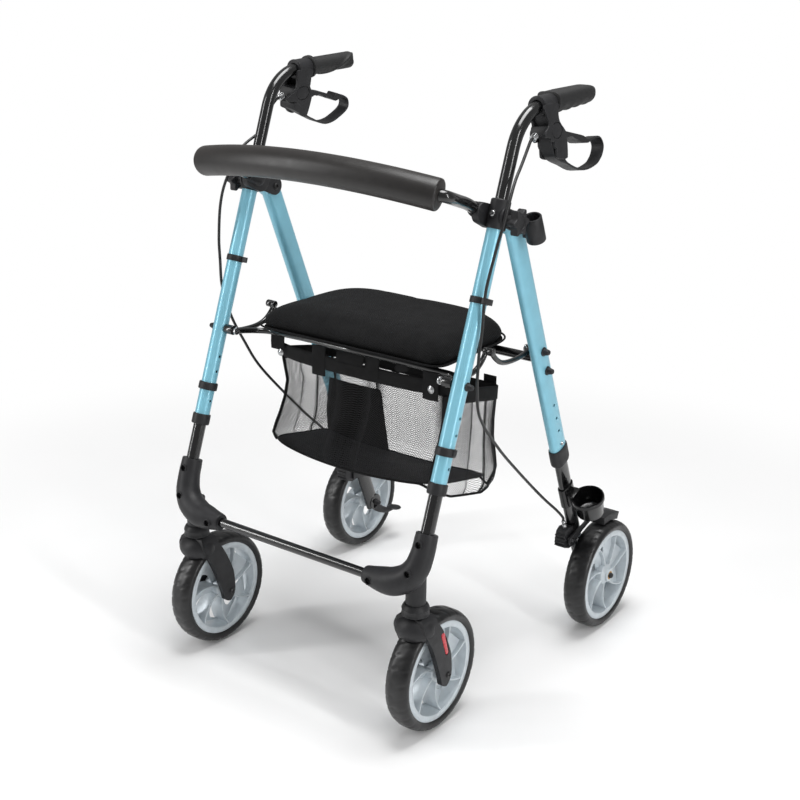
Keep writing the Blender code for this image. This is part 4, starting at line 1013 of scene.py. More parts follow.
def make_brake_housings():
    """Clamp band round the handle, two flush cheeks with a round cover over the pin, and the block between
    them.
    """
    for side in SIDES:
        bm = bmesh.new()
        far = [(max(y, -0.01) if z > 0.02 else y, z) for y, z in CHEEK[side]]
        brake_plate(bm, side, far, -0.0162, -0.012, 0.001)
        brake_plate(bm, side, CHEEK[side], 0.012, 0.0162, 0.0013)
        sockets = bmesh.new()
        for inner, outer in ((-0.03, -0.0146), (0.0146, 0.03)):
            brake_plate(sockets, side, button_outline(side, 0.0009), inner, outer, 0.0, steps=1)
        bm = combined(bm, sockets)
        for low, high in ((-0.0161, -0.0142), (0.0142, 0.0161)):
            brake_plate(bm, side, button_outline(side, -0.0003), low, high, 0.0004, steps=1)
        start, end = BAND_Y[side]
        length = (end - start) * hypot(1.0, GRIP_RISE)
        band = [
            (0.0104, 0.0), (0.0146, 0.0), (0.016, 0.0008), (0.0163, 0.0024), (0.016, 0.0042),
            (0.0157, 0.0052), (0.0157, length - 0.002), (0.015, length), (0.0104, length),
            (0.0104, length - 0.003), (0.012, length - 0.003), (0.012, 0.003),
        ]
        turned(bm, band, grip_point(side, start), GRIP_BACK, steps=64, closed=True)
        yoke = [(start + 0.004, 0.004), (end - 0.003, 0.004), (end - 0.004, 0.027), (start + 0.012, 0.029)]
        brake_plate(bm, side, yoke, -0.015, 0.015, 0.0008, steps=1)
        shift = 0.0 if side == "left" else 0.002
        nose = mm((-12, 37), (-8.5, 30), (8, 27), (8, 46), (-11, 45))
        brake_plate(bm, side, [(y + shift, z) for y, z in nose], -0.0155, 0.0155, 0.0012, steps=1)
        shift = 0.0 if side == "left" else 0.016
        chin = mm((-7.2, 55), (6, 53), (12, 60), (6, 69), (-5, 65.5), (-7.5, 61))
        brake_plate(bm, side, [(y + shift, z) for y, z in chin], -0.0158, 0.0158, 0.0012, steps=1)
        piece("brake_body_" + side, bm, "nylon", "handle_" + side, ["brake_housing_" + side])
        make_brake_details(side)


def button_outline(side, grown, count=40):
    """Oval cover over the lever pin, as (y, depth) points of the brake frame."""
    y, depth, half_y, half_depth = BUTTON[side]
    points = []
    for i in range(count):
        angle = 2 * pi * i / count
        points.append(
            (y + (half_y + grown) * cos(angle), depth + (half_depth + grown) * sin(angle))
        )
    return points


def make_brake_details(side):
    """Lever pin, and the ribbed cable adjuster."""
    frame_at = brake_frame(side)
    bm = shaped(brake_cylinder, side, *LEVER_PIVOT, -0.0142, 0.0142, 0.003)
    piece("brake_pin_" + side, bm, "zinc", "handle_" + side)
    start, end = frame_at @ Vector((0.0, -0.0205, -0.0419)), frame_at @ Vector((0.0, -0.03, -0.0465))
    length = (end - start).length
    ribs = [(0.0, 0.0)]
    for i in range(4):
        low = length * i / 4
        ribs += [
            (0.0044, low + 0.0001), (0.0056, low + length * 0.06), (0.0056, low + length * 0.15),
            (0.0044, low + length * 0.21),
        ]
    ribs += [(0.0036, length), (0.0, length)]
    bm = shaped(turned, ribs, start, end - start, steps=28)
    piece("brake_adjuster_" + side, bm, "zinc", "handle_" + side)


LEVER_OUTER = {
    "left": mm(
        (0, 40), (4, 33), (14, 32), (33, 36), (45.6, 38.5), (69.8, 42.1), (83.7, 45.2), (97.9, 49.5),
        (107, 54.5), (110.5, 52), (114.3, 47.8), (123, 50), (134, 52.8), (145.5, 57.9), (151.5, 65.5),
        (152, 76), (144, 84.5), (129, 92.5), (112, 99.2), (91.3, 101.3), (69.4, 96), (53.6, 90), (38, 83.8),
        (10, 72), (-3.5, 64), (-3, 50),
    ),
    "right": mm(
        (0, 40), (4, 33), (14, 32), (33, 37.5), (53.4, 43), (84.3, 50), (107.9, 55.6), (116, 60.5), (124, 62),
        (140, 61), (154, 60.5), (163, 64), (169, 72), (170, 81), (164, 91.7), (156, 98.5), (143.2, 105),
        (113.3, 109.6), (81, 106), (52.5, 94.8), (31.9, 87.5), (19, 81), (12, 74), (8, 64), (4, 50),
    ),
}
LEVER_INNER = {
    "left": mm(
        (38, 49), (45.8, 48.6), (52.7, 46.3), (58.8, 48), (64.4, 45.6), (72.2, 48), (80.4, 52.6),
        (87.8, 52.4), (99.2, 57), (110.5, 60.9), (118, 60), (130, 56), (143, 60.5), (148.4, 66.8),
        (148.8, 74.8), (142, 82), (127.5, 89.8), (111, 96.4), (91.5, 98.4), (70.4, 93.2), (54.6, 87.2),
        (40, 81.2), (32, 75), (36, 62),
    ),
    "right": mm(
        (48, 54), (56, 53), (69.9, 53), (77.4, 56.3), (83.1, 58.8), (90.7, 62.1), (97.5, 65.5), (110, 67.2),
        (120, 68), (132, 65), (153, 63.7), (160.5, 66.5), (166, 73.5), (166.6, 80.5), (161, 90), (154, 96),
        (142.5, 102), (113.3, 106.4), (82, 102.8), (54, 91.8), (44, 83), (45.5, 68),
    ),
}


def make_brake_levers():
    """Loop levers: a scalloped upper blade with a broad thin strip curling back under it."""
    for side in SIDES:
        bm = shaped(brake_plate, side, LEVER_OUTER[side], -0.0108, 0.0108, 0.0018)
        brake_cylinder(bm, side, *LEVER_PIVOT, -0.0116, 0.0116, 0.007, bevel=0.0006)
        window = shaped(brake_plate, side, LEVER_INNER[side], -0.02, 0.02, 0.0)
        brake_cylinder(window, side, *LEVER_PIVOT, -0.03, 0.03, 0.0034)
        piece(
            "brake_loop_lever_" + side, combined(bm, window), "nylon", "brake_lever_" + side,
            ["brake_lever_" + side], bevel=0.0008,
        )


# Rear frame


def make_rear_legs():
    for side, sign in SIDES.items():
        body = "rear_frame"
        low, high = on_rear(REAR_LEG_Z[0], side), on_rear(REAR_LEG_Z[1], side)
        bm = shaped(oval_bar, low, high, *REAR_LEG_OVAL)
        bm = combined(bm, shaped(pin, FOLD_PIVOT, side, -0.0096, 0.0096, 0.0187, sides=48), "UNION")
        bm = combined(bm, shaped(oval_bar, low - REAR_UP * 0.01, on_rear(0.478, side), 0.0163, 0.008))
        holes = bmesh.new()
        for z in REAR_HOLE_Z:
            centre = rear_axis(z)
            pin(holes, centre, side, 0.004, 0.015, 0.0028, sides=20)
        centre = rear_axis(BUTTON_Z)
        pin(holes, centre, side, 0.004, 0.015, 0.0036, sides=20)
        pin(holes, FOLD_PIVOT, side, -0.02, 0.02, 0.0044, sides=24)
        tube = combined(bm, holes)
        piece("rear_leg_tube_" + side, tube, "blue", body, ["rear_leg_" + side], bevel=0.0006)
        bm = shaped(pin, LINK_REAR, side, -0.0225, 0.004, 0.004, sides=24)
        pin(bm, LINK_REAR, side, -0.0248, -0.0218, 0.0065, bevel=0.0008)
        piece("link_bolt_" + side, bm, "zinc", body, ["rear_leg_" + side])
        bm = bmesh.new()
        for z in (LINK_REAR[1], 0.53):
            cap_nut(bm, on_rear(z, side, 0.0096), ACROSS * sign, 0.86)
        piece("rear_leg_caps_" + side, bm, "nylon", body)
        make_rear_collar(side)


def make_rear_collar(side):
    low, high = on_rear(0.345, side), on_rear(0.3755, side)
    count = 10
    points = [low.lerp(high, i / count) for i in range(count + 1)]
    scales = [0.94, 0.99] + [1.0] * (count - 3) + [0.99, 0.95]
    bm = shaped(sweep, points, 1.0, 56, scales=scales, shape=oval(0.0214, 0.0124))
    bm = combined(
        bm, shaped(oval_bar, on_rear(REAR_LEG_Z[0] - 0.0004, side), high + REAR_UP * 0.01, 0.0192, 0.0102),
    )
    collar = combined(bm, shaped(oval_bar, low - REAR_UP * 0.01, high, 0.0163, 0.008))
    piece("rear_end_collar_" + side, collar, "nylon", "rear_frame", ["rear_leg_collar_" + side])


def make_rear_links():
    reach = LEG_X - REAR_LEG_OVAL[1] - 0.0003
    bm = shaped(cylinder, (-reach, *CROSS_TUBE), (reach, *CROSS_TUBE), 0.0075, sides=40)
    piece("cross_tube", bm, "enamel", "rear_frame", ["rear_cross_tube"])
    for side, sign in SIDES.items():
        line = [LINK_REAR, (0.005, 0.56), (-0.03, 0.5595), (-0.056, 0.564), (-0.074, 0.575), LINK_MID]
        bm = shaped(sweep, smooth_path([(sign * 0.2293, y, z) for y, z in line], 5), 0.0042, sides=28)
        for end in (LINK_REAR, LINK_MID):
            cylinder(bm, (sign * 0.2246, *end), (sign * 0.2341, *end), 0.0062, sides=36, bevel=0.001)
        link = combined(bm, shaped(pin, LINK_REAR, side, -0.03, 0.0, 0.0044, sides=24))
        piece("link_bar_" + side, link, "enamel", "side_link_" + side, ["side_link_" + side])


# Rear feet


def make_rear_feet():
    for side, sign in SIDES.items():
        body = "lower_rear_leg_" + side
        low, high = on_rear(LOWER_LEG_Z[0], side), on_rear(LOWER_LEG_Z[1], side)
        bm = shaped(oval_bar, low, high, *LOWER_LEG_OVAL)
        slot = bmesh.new()
        near, far = sorted((sign * -0.0062, sign * 0.01))
        matrix = along(on_rear(BUTTON_Z, side), REAR_UP)
        block(slot, (near, -0.0045, -0.034), (far, 0.0045, 0.006), matrix)
        leg = combined(bm, slot)
        piece("rear_inner_leg_" + side, leg, "enamel", body, [body])
        axle = REAR_WHEEL[1:]
        bm = shaped(pin, axle, side, -0.0085, 0.0075, 0.0165, sides=40, bevel=0.0014)
        pin(bm, axle, side, 0.006, 0.0112, 0.009, sides=32)
        piece("rear_foot_" + side, bm, "enamel", body, [body])
        bm = shaped(pin, axle, side, -0.012, 0.0575, 0.004, sides=24)
        pin(bm, axle, side, 0.0546, 0.0565, 0.008, sides=32, bevel=0.0003)
        piece("rear_axle_" + side, bm, "brass", body, [body])
        bm = shaped(cap_nut, on_side(axle, side, 0.0485), ACROSS * sign, 0.95)
        cap_nut(bm, on_side(axle, side, -0.0084), ACROSS * -sign, 0.8)
        piece("rear_axle_cap_" + side, bm, "nylon", body, [body])
        make_kerb_pedal(side, body)
        make_snap_button(side)


def make_kerb_pedal(side, body):
    stem = mm((-3, 233.5, 93), (-6, 248, 80), (-10, 266, 71), (-12.5, 286, 69))
    path = smooth_path([on_side((y, z), side, out) for out, y, z in stem], 6)
    bm = shaped(
        sweep, path, 0.01, sides=28, scales=[1.0 - 0.62 * i / (len(path) - 1) for i in range(len(path))],
    )
    leaf = mm((0, 0), (11, 0.6), (14.2, 1.6), (15, 3), (14, 4.2), (9, 5.4), (0, 6))
    turned(bm, leaf, on_side((0.29, 0.0668), side, -0.0125), (0.0, 0.1, 1.0), steps=48)
    piece("kerb_pedal_" + side, bm, "nylon", body, [body])


def make_snap_button(side):
    centre = rear_axis(BUTTON_Z)
    profile = mm((0, 0), (4, 0), (4, 2.4), (3.1, 2.6), (3, 11), (2.2, 12.6), (0, 13.1))
    bm = shaped(turned, profile, on_side(centre, side, 0.0), ACROSS * SIDES[side], steps=28)
    name = "snap_button_" + side
    piece("spring_button_" + side, bm, "zinc", name, [name])


def make_stick_cup():
    body = "lower_rear_leg_right"
    rim = Vector((0.2865, 0.155, 0.278))
    base = rim - REAR_UP * 0.037
    profile = mm(
        (26.6, 37), (27.8, 37.7), (28.8, 37.2), (29.1, 36), (29, 31.2), (27, 30), (26.2, 28), (24, 2),
        (23.2, 0.4), (21.5, 0), (3.4, 0), (3.4, 3), (19, 3), (21.2, 4.5),
    )
    bm = shaped(turned, profile, base, REAR_UP, steps=56, closed=True)
    piece("stick_holder_cup", bm, "gloss", body, ["stick_cup"])
    low, high = on_rear(0.254, "right"), on_rear(0.292, "right")
    bm = shaped(oval_bar, low, high, 0.018, 0.0098)
    saddle = combined(bm, shaped(oval_bar, low - REAR_UP * 0.01, high + REAR_UP * 0.01, 0.0158, 0.0078))
    piece("stick_holder_saddle", saddle, "gloss", body, ["stick_cup"], bevel=0.0008)
    matrix = along(on_rear(0.27, "right"), REAR_UP)
    bm = shaped(block, (0.0085, -0.013, -0.012), (0.0215, 0.013, 0.012), matrix, 0.0012)
    piece("stick_holder_arm", bm, "gloss", body, ["stick_cup"])
    bm = shaped(socket_screw, base + REAR_UP * 0.003, REAR_UP, 0.0042)
    piece("stick_holder_screw", bm, "zinc", body)


def make_rear_brakes():
    for side, sign in SIDES.items():
        leg = "lower_rear_leg_" + side
        outline = mm((133.5, 185), (140, 176), (156, 170), (181.5, 172.2), (165, 210), (148, 212), (138, 206))
        bm = shaped(side_plate, outline, sign * 0.2372, sign * 0.2565, bevel=0.0012)
        cheek = mm((156, 176), (201, 169), (188, 206), (156, 205))
        side_plate(bm, cheek, sign * 0.233, sign * 0.2373, bevel=0.0008)
        for i in range(4):
            z = 0.18 + 0.0062 * i
            block(
                bm, (sign * 0.2478 - 0.0098, 0.133, z), (sign * 0.2478 + 0.0098, 0.14, z + 0.0026), None,
                0.0006,
            )
        piece("brake_carrier_" + side, bm, "nylon", leg, ["brake_block_" + side])
        bm = shaped(pin, BRAKE_PIN, side, 0.01, 0.0215, 0.003, sides=24)
        barrel = mm((0, 0), (3.6, 0), (3.8, 1.5), (3.8, 9), (3.4, 10), (3.4, 13), (3.8, 14))
        barrel += [(0.0038, 0.018), (0.003, 0.019), (0.0, 0.0192)]
        low, high = on_side((0.15, 0.208), side, 0.003), on_side((0.143, 0.226), side, 0.003)
        turned(bm, barrel, low, high - low, steps=28)
        piece("brake_barrel_" + side, bm, "zinc", leg, ["brake_block_" + side])
        make_brake_shoe(side, sign)


def make_brake_shoe(side, sign):
    wheel = REAR_WHEEL[1:]
    shoe = arc(wheel, 0.117, 98, 69, 20) + arc(wheel, 0.1026, 69, 98, 20)
    arm = mm(
        (142, 190), (144, 183.5), (152, 181.5), (186, 196), (217, 205), (224, 206), (225, 216), (190, 207),
        (148, 198),
    )
    bm = shaped(side_plate, shoe, sign * 0.2602, sign * 0.29, bevel=0.0012)
    side_plate(bm, rounded_outline(arm), sign * 0.26, sign * 0.2645, bevel=0.0009)
    made = combined(bm, shaped(pin, BRAKE_PIN, side, 0.01, 0.025, 0.0034, sides=24))
    piece("brake_shoe_" + side, made, "nylon", "brake_arm_" + side, ["brake_arm_" + side])


# Wheels


def make_wheels(sizes):
    for side, sign in SIDES.items():
        for end, place in (("rear", REAR_WHEEL), ("front", FRONT_WHEEL)):
            centre = Vector((sign * place[0], place[1], place[2]))
            body = f"{end}_wheel_{side}"
            make_rim(f"{end}_rim_{side}", centre, body, sizes)
            make_tyre(f"{end}_tyre_tread_{side}", centre, body, f"{end}_tyre_{side}", sizes)


def make_rim(name, centre, body, sizes):
    """Flat-faced rim ring, stepped hub, thin blade spokes and slanting webs between them."""
    outer = sizes.rim_radius
    half = [(outer, 0.0176), (outer - 0.0006, 0.018), *mm((74.2, 18), (73.3, 17.4), (72.2, 6))]
    bm = shaped(turned, [*half, (0.0716, 0.0), *flipped(half)], centre, ACROSS, steps=112, closed=True)
    half = mm((4.5, 22.2), (11, 22.2), (12, 21.6), (12.4, 18), (17, 15), (18.4, 14), (19, 12.5))
    turned(bm, half + flipped(half), centre, ACROSS, steps=56, closed=True)
    for i in range(SPOKES):
        spoke_blade(bm, centre, 360 * i / SPOKES)
        spoke_web(bm, centre, 360 * i / SPOKES)
    piece(name, bm, "rim", body, [body])
    bolts = bmesh.new()
    for end in (-1, 1):
        for i in range(SPOKES):
            angle = 2 * pi * (i + 0.5) / SPOKES
            base = centre + Vector((end * 0.014, 0.015 * cos(angle), 0.015 * sin(angle)))
            socket_screw(bolts, base, ACROSS * end, 0.0017)
        cylinder(bolts, centre + ACROSS * end * 0.0215, centre + ACROSS * end * 0.0224, 0.0078, sides=40)
    piece(name.replace("rim", "hub_bolts"), bolts, "sheath", body)


def on_wheel(centre, radius, turn):
    angle = radians(turn)
    return Vector((centre.x, centre.y + radius * cos(angle), centre.z + radius * sin(angle)))


def spoke_blade(bm, centre, start):
    """Thin curved wall from the hub to the rim ring, its edge dished a little towards the hub."""
    radii = [0.0172 + 0.0562 * i / 10 for i in range(11)]
    blade = bmesh.new()
    sides = []
    for half in (-0.0011, 0.0011):
        line = []
        for radius in radii:
            share = (radius - 0.0172) / 0.0562
            swing = 18 * share**1.4
            flare = half * (1.0 + 0.9 * (1 - share) ** 3 + 0.5 * share**6)
            line.append(on_wheel(centre, radius, start + swing + degrees(flare / radius)))
        sides.append(line)
    outline = sides[0] + sides[1][::-1]
    plate(blade, [point - ACROSS * 0.0165 for point in outline], ACROSS * 0.033, bevel=0.0005, segments=2)
    for vert in blade.verts:
        radius = hypot(vert.co.y - centre.y, vert.co.z - centre.z)
        share = min(1.0, max(0.0, (radius - 0.0172) / 0.0562))
        dish = 0.86 + 0.17 * share**0.7 - 0.1 * sin(pi * share)
        vert.co.x = centre.x + (vert.co.x - centre.x) * dish
    join(bm, blade)


def spoke_web(bm, centre, start):
    """Slanting panel beside a blade. It leaves an opening up to the next blade."""
    web = bmesh.new()
    radii = [0.018 + 0.0545 * i / 10 for i in range(11)]
    near, far = [], []
    for radius in radii:
        share = (radius - 0.018) / 0.0545
        swing = start + 18 * share**1.4
        # The open part is a petal: wide in the middle of the sector and closed at hub and rim
        open_part = 27 * sin(pi * min(1.0, share * 1.02)) ** 0.6
        near.append(on_wheel(centre, radius, swing))
        far.append(on_wheel(centre, radius, swing + 360 / SPOKES - open_part))
    plate(web, [point - ACROSS * 0.0014 for point in near + far[::-1]], ACROSS * 0.0028)
    for vert in web.verts:
        dy, dz = vert.co.y - centre.y, vert.co.z - centre.z
        radius = hypot(dy, dz)
        share = min(1.0, max(0.0, (radius - 0.018) / 0.0545))
        turn = (degrees(atan2(dz, dy)) - start - 18 * share**1.4) % 360
        if turn > 200:
            turn -= 360
        vert.co.x += 0.006 - 0.00034 * turn * (0.4 + 0.6 * share)
    join(bm, web)


def make_tyre(name, centre, body, node, sizes):
    """Tyre with a rounded shoulder and shallow slanted grooves in its tread."""
    reach = sizes.wheel_radius
    half = [
        (reach, 0.0), (reach, 0.005), (reach - 0.0002, 0.0085), (reach - 0.0009, 0.012),
        (reach - 0.0024, 0.016), (reach - 0.0044, 0.019), (reach - 0.0068, 0.0207), (reach - 0.0095, 0.0211),
        (reach - 0.0125, 0.0203), (reach - 0.015, 0.019), (0.0841, 0.0181), (0.0838, 0.0174),
    ]
    profile = [(r, h) for r, h in reversed(half)] + [(r, -h) for r, h in half[1:]]
    bm = shaped(turned, profile, centre, ACROSS, steps=224, closed=True)
    cut_tread(bm, centre, reach)
    piece(name, bm, "tyre", body, [node], angle=60)


def cut_tread(bm, centre, reach):
    """Sinks hooked grooves into the tread, 28 round each shoulder."""
    for vert in bm.verts:
        dx = vert.co.x - centre.x
        dy, dz = vert.co.y - centre.y, vert.co.z - centre.z
        radius = hypot(dy, dz)
        if radius < reach - 0.008 or abs(dx) < 0.004:
            continue
        angle = atan2(dz, dy)
        slant = 0.1 * (abs(dx) / 0.02)
        phase = (angle + slant * (1 if dx > 0 else -1)) * 28 / (2 * pi)
        if dx > 0:
            phase += 0.5
        if phase % 1.0 < 0.16:
            shrink = (radius - 0.001) / radius
            vert.co.y = centre.y + dy * shrink
            vert.co.z = centre.z + dz * shrink


# Front feet


def make_front_feet():
    bar_y = front_axis(CROSS_BAR_Z).y
    bm = shaped(cylinder, (-0.183, bar_y, CROSS_BAR_Z), (0.183, bar_y, CROSS_BAR_Z), 0.00775, sides=40)
    piece("front_bar", bm, "enamel", "front_lower", ["front_cross_bar"])
    for side, sign in SIDES.items():
        low, high = on_front(0.321, side), on_front(0.5, side)
        bm = shaped(cylinder, low, high, 0.01075, sides=40)
        name = "front_inner_tube_" + side
        piece("front_inner_leg_" + side, bm, "enamel", "front_lower", [name])
        make_elbow(side, sign)
        make_fork(side, sign)


def make_elbow(side, sign):
    """Cast elbow: a thick bent sleeve from the leg down to the cross bar, with the stem housing under it."""
    bends = [
        (0.245, 0.3513, 0.98), (0.245, 0.349, 1.01), (0.245, 0.34, 1.04), (0.2445, 0.322, 1.08),
        (0.24, 0.3, 1.18), (0.227, 0.282, 1.29), (0.205, 0.271, 1.3), (0.185, 0.2685, 1.18),
        (0.168, 0.268, 0.98), (0.156, 0.268, 0.84), (0.153, 0.268, 0.78),
    ]
    keys = smooth_path(bends, 5)
    path = [(sign * key.x, front_axis(key.y).y, key.y) for key in keys]
    scales = [key.z for key in keys]
    bm = shaped(sweep, path, 0.0172, sides=48, scales=scales)
    stem_x = sign * STEM[0]
    bm = combined(
        bm, shaped(cylinder, (stem_x, STEM[1], 0.229), (stem_x, STEM[1], 0.286), 0.016, sides=56), "UNION",
    )
    # Round recesses for the three clamp screws, on the face that looks forwards
    recesses = bmesh.new()
    heads = []
    for x, z, depth in ((0.2452, 0.338, 0.0176), (0.2385, 0.295, 0.0204), (0.17, 0.266, 0.0166)):
        centre = Vector((sign * x, front_axis(z).y, z))
        forward = Vector((0.0, -1.0, 0.12)).normalized()
        heads.append((centre + forward * (depth - 0.0048), forward))
        cylinder(
            recesses, centre + forward * (depth - 0.0045), centre + forward * (depth + 0.01), 0.0054,
            sides=32,
        )
    bm = combined(bm, recesses)
    piece("elbow_casting_" + side, bm, "nylon", "front_lower", ["front_elbow_" + side], bevel=0.001)
    screws, rings = bmesh.new(), bmesh.new()
    rim = mm((5.3, 1), (7, 1), (6.8, 6.2), (6, 6.6), (5.3, 6.2))
    for base, axis in heads:
        socket_screw(screws, base, axis, 0.0044)
        turned(rings, rim, base, axis, steps=40, closed=True)
    piece("elbow_screws_" + side, screws, "sheath", "front_lower")
    piece("elbow_screw_rims_" + side, rings, "nylon", "front_lower")
    skirt = mm(
        (0, 19), (16.6, 19), (17.6, 18.6), (19.6, 16), (21.4, 12.5), (21.9, 10.5), (21.3, 9.6), (21.3, 3),
        (21.9, 2.2), (21.9, 0.6), (21.4, 0), (7, 0), (7, 15), (0, 15),
    )
    bm = shaped(turned, skirt, (stem_x, STEM[1], 0.2172), (0.0, 0.0, 1.0), steps=56)
    piece("stem_collar_" + side, bm, "nylon", "front_lower")


def make_fork(side, sign):
    """Caster fork: a bulging crown on the stem, with arms swept back and down to the axle."""
    x, y, z = sign * FRONT_WHEEL[0], FRONT_WHEEL[1], FRONT_WHEEL[2]
    profile = mm(
        (-290, 216.5), (-295, 208), (-295, 196), (-290, 185), (-279, 165), (-269, 143), (-254.5, 104),
        (-251, 90), (-244, 84), (-235, 83), (-225, 98), (-226.2, 128), (-230.5, 145), (-248, 183),
        (-259, 203), (-264, 216.5),
    )
    bm = shaped(side_plate, rounded_outline(profile, 4), x - 0.0335, x + 0.0335, bevel=0.0)
    half = mm((-19.5, 217.2), (-25, 212), (-29, 201), (-32.2, 184), (-33.4, 170), (-33.4, 130), (-33.4, 70))
    front_view = half + [(-px, pz) for px, pz in reversed(half)]
    bm = combined(
        bm, shaped(plate, [(x + px, -0.33, pz) for px, pz in front_view], (0.0, 0.12, 0.0)), "INTERSECT",
    )
    bulb = bmesh.new()
    shape = Matrix.Translation((x, -0.281, 0.1935)) @ Matrix.Diagonal((0.0335, 0.028, 0.0235, 1.0))
    bmesh.ops.create_uvsphere(bulb, u_segments=48, v_segments=24, radius=1.0, matrix=shape)
    bm = combined(bm, bulb, "UNION")
    bm = combined(bm, shaped(cylinder, (x - 0.0245, y, z), (x + 0.0245, y, z), 0.105, sides=96))
    recess = bmesh.new()
    outside = x + sign * 0.0335
    slot = stadium((-0.25, 0.176), (-0.2385, 0.142), 0.0056, 0.0046)
    side_plate(recess, slot, outside - 0.0022, outside + 0.0022)
    bm = combined(bm, recess)
    body = "front_fork_" + side
    piece("caster_fork_" + side, bm, "nylon", body, [body], bevel=0.0042)
    insert = stadium((-0.25, 0.176), (-0.2385, 0.142), 0.0044, 0.0034)
    low, high = sorted((outside - sign * 0.0022, outside - sign * 0.0002))
    bm = shaped(side_plate, insert, low, high, bevel=0.0008)
    piece("fork_insert_" + side, bm, "red", body)
    stem_x = sign * STEM[0]
    bm = shaped(cylinder, (stem_x, STEM[1], 0.2), (stem_x, STEM[1], 0.255), 0.006, sides=32)
    cylinder(bm, (x - 0.034, y, z), (x + 0.034, y, z), 0.004, sides=24)
    for end in (-1, 1):
        cylinder(bm, (x + end * 0.0226, y, z), (x + end * 0.0255, y, z), 0.0075, sides=32)
    piece("fork_axle_" + side, bm, "zinc", body, [body])
    bm = bmesh.new()
    for end in (-1, 1):
        socket_screw(bm, (x + end * 0.033, y, z), ACROSS * end, 0.0052)
    piece("fork_axle_heads_" + side, bm, "sheath", body)


# Seat


def seat_bail(steps=8):
    tube = mm(
        (216.5, -192, 564), (212, -165, 559.5), (204, -144, 556), (189, -135, 555.5), (165, -135.5, 556.5),
        (100, -142.5, 560.5), (0, -150, 563),
    )
    half = smooth_path(tube, steps)
    return half + [mirrored(point, -1) for point in reversed(half[:-1])]


def make_seat_frame():
    bm = shaped(sweep, seat_bail(), 0.005, sides=24)
    for sign in SIDES.values():
        rail = [(-0.137, 0.558), (-0.12, 0.564), (-0.105, 0.566), (0.05, 0.566)]
        sweep(bm, [(sign * 0.15, y, z) for y, z in rail], 0.005, sides=24)
    cylinder(bm, (-0.155, 0.05, 0.566), (0.155, 0.05, 0.566), 0.005, sides=24)
    piece("seat_bail_tube", bm, "enamel", "seat", ["seat_frame"])
    for side, sign in SIDES.items():
        bm = shaped(
            cylinder, (sign * 0.214, *SEAT_PIVOT), (sign * 0.2319, *SEAT_PIVOT), 0.008, sides=40, bevel=0.001,
        )
        line = [SEAT_PIVOT, (-0.17, 0.561), (-0.135, 0.56), (-0.112, 0.565), (-0.096, 0.576), LINK_MID]
        sweep(bm, smooth_path([(sign * 0.2196, y, z) for y, z in line], 5), 0.0042, sides=28)
        cylinder(bm, (sign * 0.216, *LINK_MID), (sign * 0.2238, *LINK_MID), 0.006, sides=36, bevel=0.001)
        arm = combined(bm, shaped(cylinder, (-0.24, *SEAT_PIVOT), (0.24, *SEAT_PIVOT), 0.0044, sides=24))
        piece("seat_pivot_arm_" + side, arm, "enamel", "seat", ["seat_frame"])
        x, y = sign * 0.15, CROSS_TUBE[0]
        bm = shaped(block, (x - 0.011, y - 0.008, 0.558), (x + 0.011, y + 0.008, 0.568), None, 0.001)
        bar = shaped(cylinder, (-0.2, *CROSS_TUBE), (0.2, *CROSS_TUBE), 0.0078, sides=40)
        piece("seat_saddle_" + side, combined(bm, bar), "nylon", "seat", ["seat_frame"])


def pad_ring(scale, z, count=112, pull=0.0):
    """One level of the seat pad. Pull draws its sides in between the corners."""
    half_x, half_y, middle_y = 0.192, 0.123, -0.047
    points = []
    for i in range(count):
        angle = 2 * pi * (i + 0.5) / count
        c, s = cos(angle), sin(angle)
        power = 0.16 if s < 0 else 0.5
        u = squared(c, power)
        v = squared(s, power)
        x, y = scale * half_x * u, scale * half_y * v
        x -= pull * u * (1 - v * v)
        y -= pull * v * (1 - u * u)
        if y < 0:
            y -= 0.004 * scale * (1 - (x / half_x) ** 2)
        points.append((x, middle_y + y, z))
    return points


def lofted(bm, rings):
    """Closed skin over rings of points, each made by extruding the last."""
    start = [bm.verts.new(point) for point in rings[0]]
    edges = [bm.edges.new((a, b)) for a, b in zip(start, start[1:] + start[:1])]
    bmesh.ops.edgeloop_fill(bm, edges=edges)
    loop = start
    for ring in rings[1:]:
        grown = bmesh.ops.extrude_edge_only(bm, edges=edges)["geom"]
        made = [item for item in grown if isinstance(item, bmesh.types.BMVert)]
        # Each new vertex still lies on the old one that it grew from
        placed = {tuple(round(c, 7) for c in old.co): point for old, point in zip(loop, ring)}
        order = {tuple(round(c, 7) for c in old.co): i for i, old in enumerate(loop)}
        after = [None] * len(loop)
        for vert in made:
            key = tuple(round(c, 7) for c in vert.co)
            after[order[key]] = vert
            vert.co = placed[key]
        loop = after
        edges = [bm.edges.get((a, b)) for a, b in zip(loop, loop[1:] + loop[:1])]
    bmesh.ops.edgeloop_fill(bm, edges=edges)


def make_seat_pad():
    """Padded seat: swelled by a short cloth simulation, then given its piping."""
    levels = (
        (0.94, 0.5716), (0.98, 0.5722), (0.998, 0.575), (1.0, 0.5785), (0.99, 0.584), (0.965, 0.5898),
        (0.915, 0.596), (0.84, 0.6015), (0.72, 0.606), (0.54, 0.6094), (0.28, 0.611),
    )
    bm = shaped(lofted, [pad_ring(scale, z, pull=0.0045) for scale, z in levels])
    pad = piece("seat_cushion", bm, "seat_cloth", "seat", ["seat_pad"])
    inflate(pad, cap=0.006, floor=0.5716, ceiling=0.615)
    bm = shaped(closed_sweep, pad_ring(0.994, 0.5738, pull=0.0045), 0.0017, sides=10)
    piece("seat_seam", bm, "seat_cloth", "seat")
    # Thin board under the pad, which its cover is wrapped round
    bm = shaped(plate, pad_ring(0.965, 0.5713, count=56), (0.0, 0.0, 0.0016), bevel=0.0006)
    piece("seat_board", bm, "seat_cloth", "seat", ["seat_pad"])


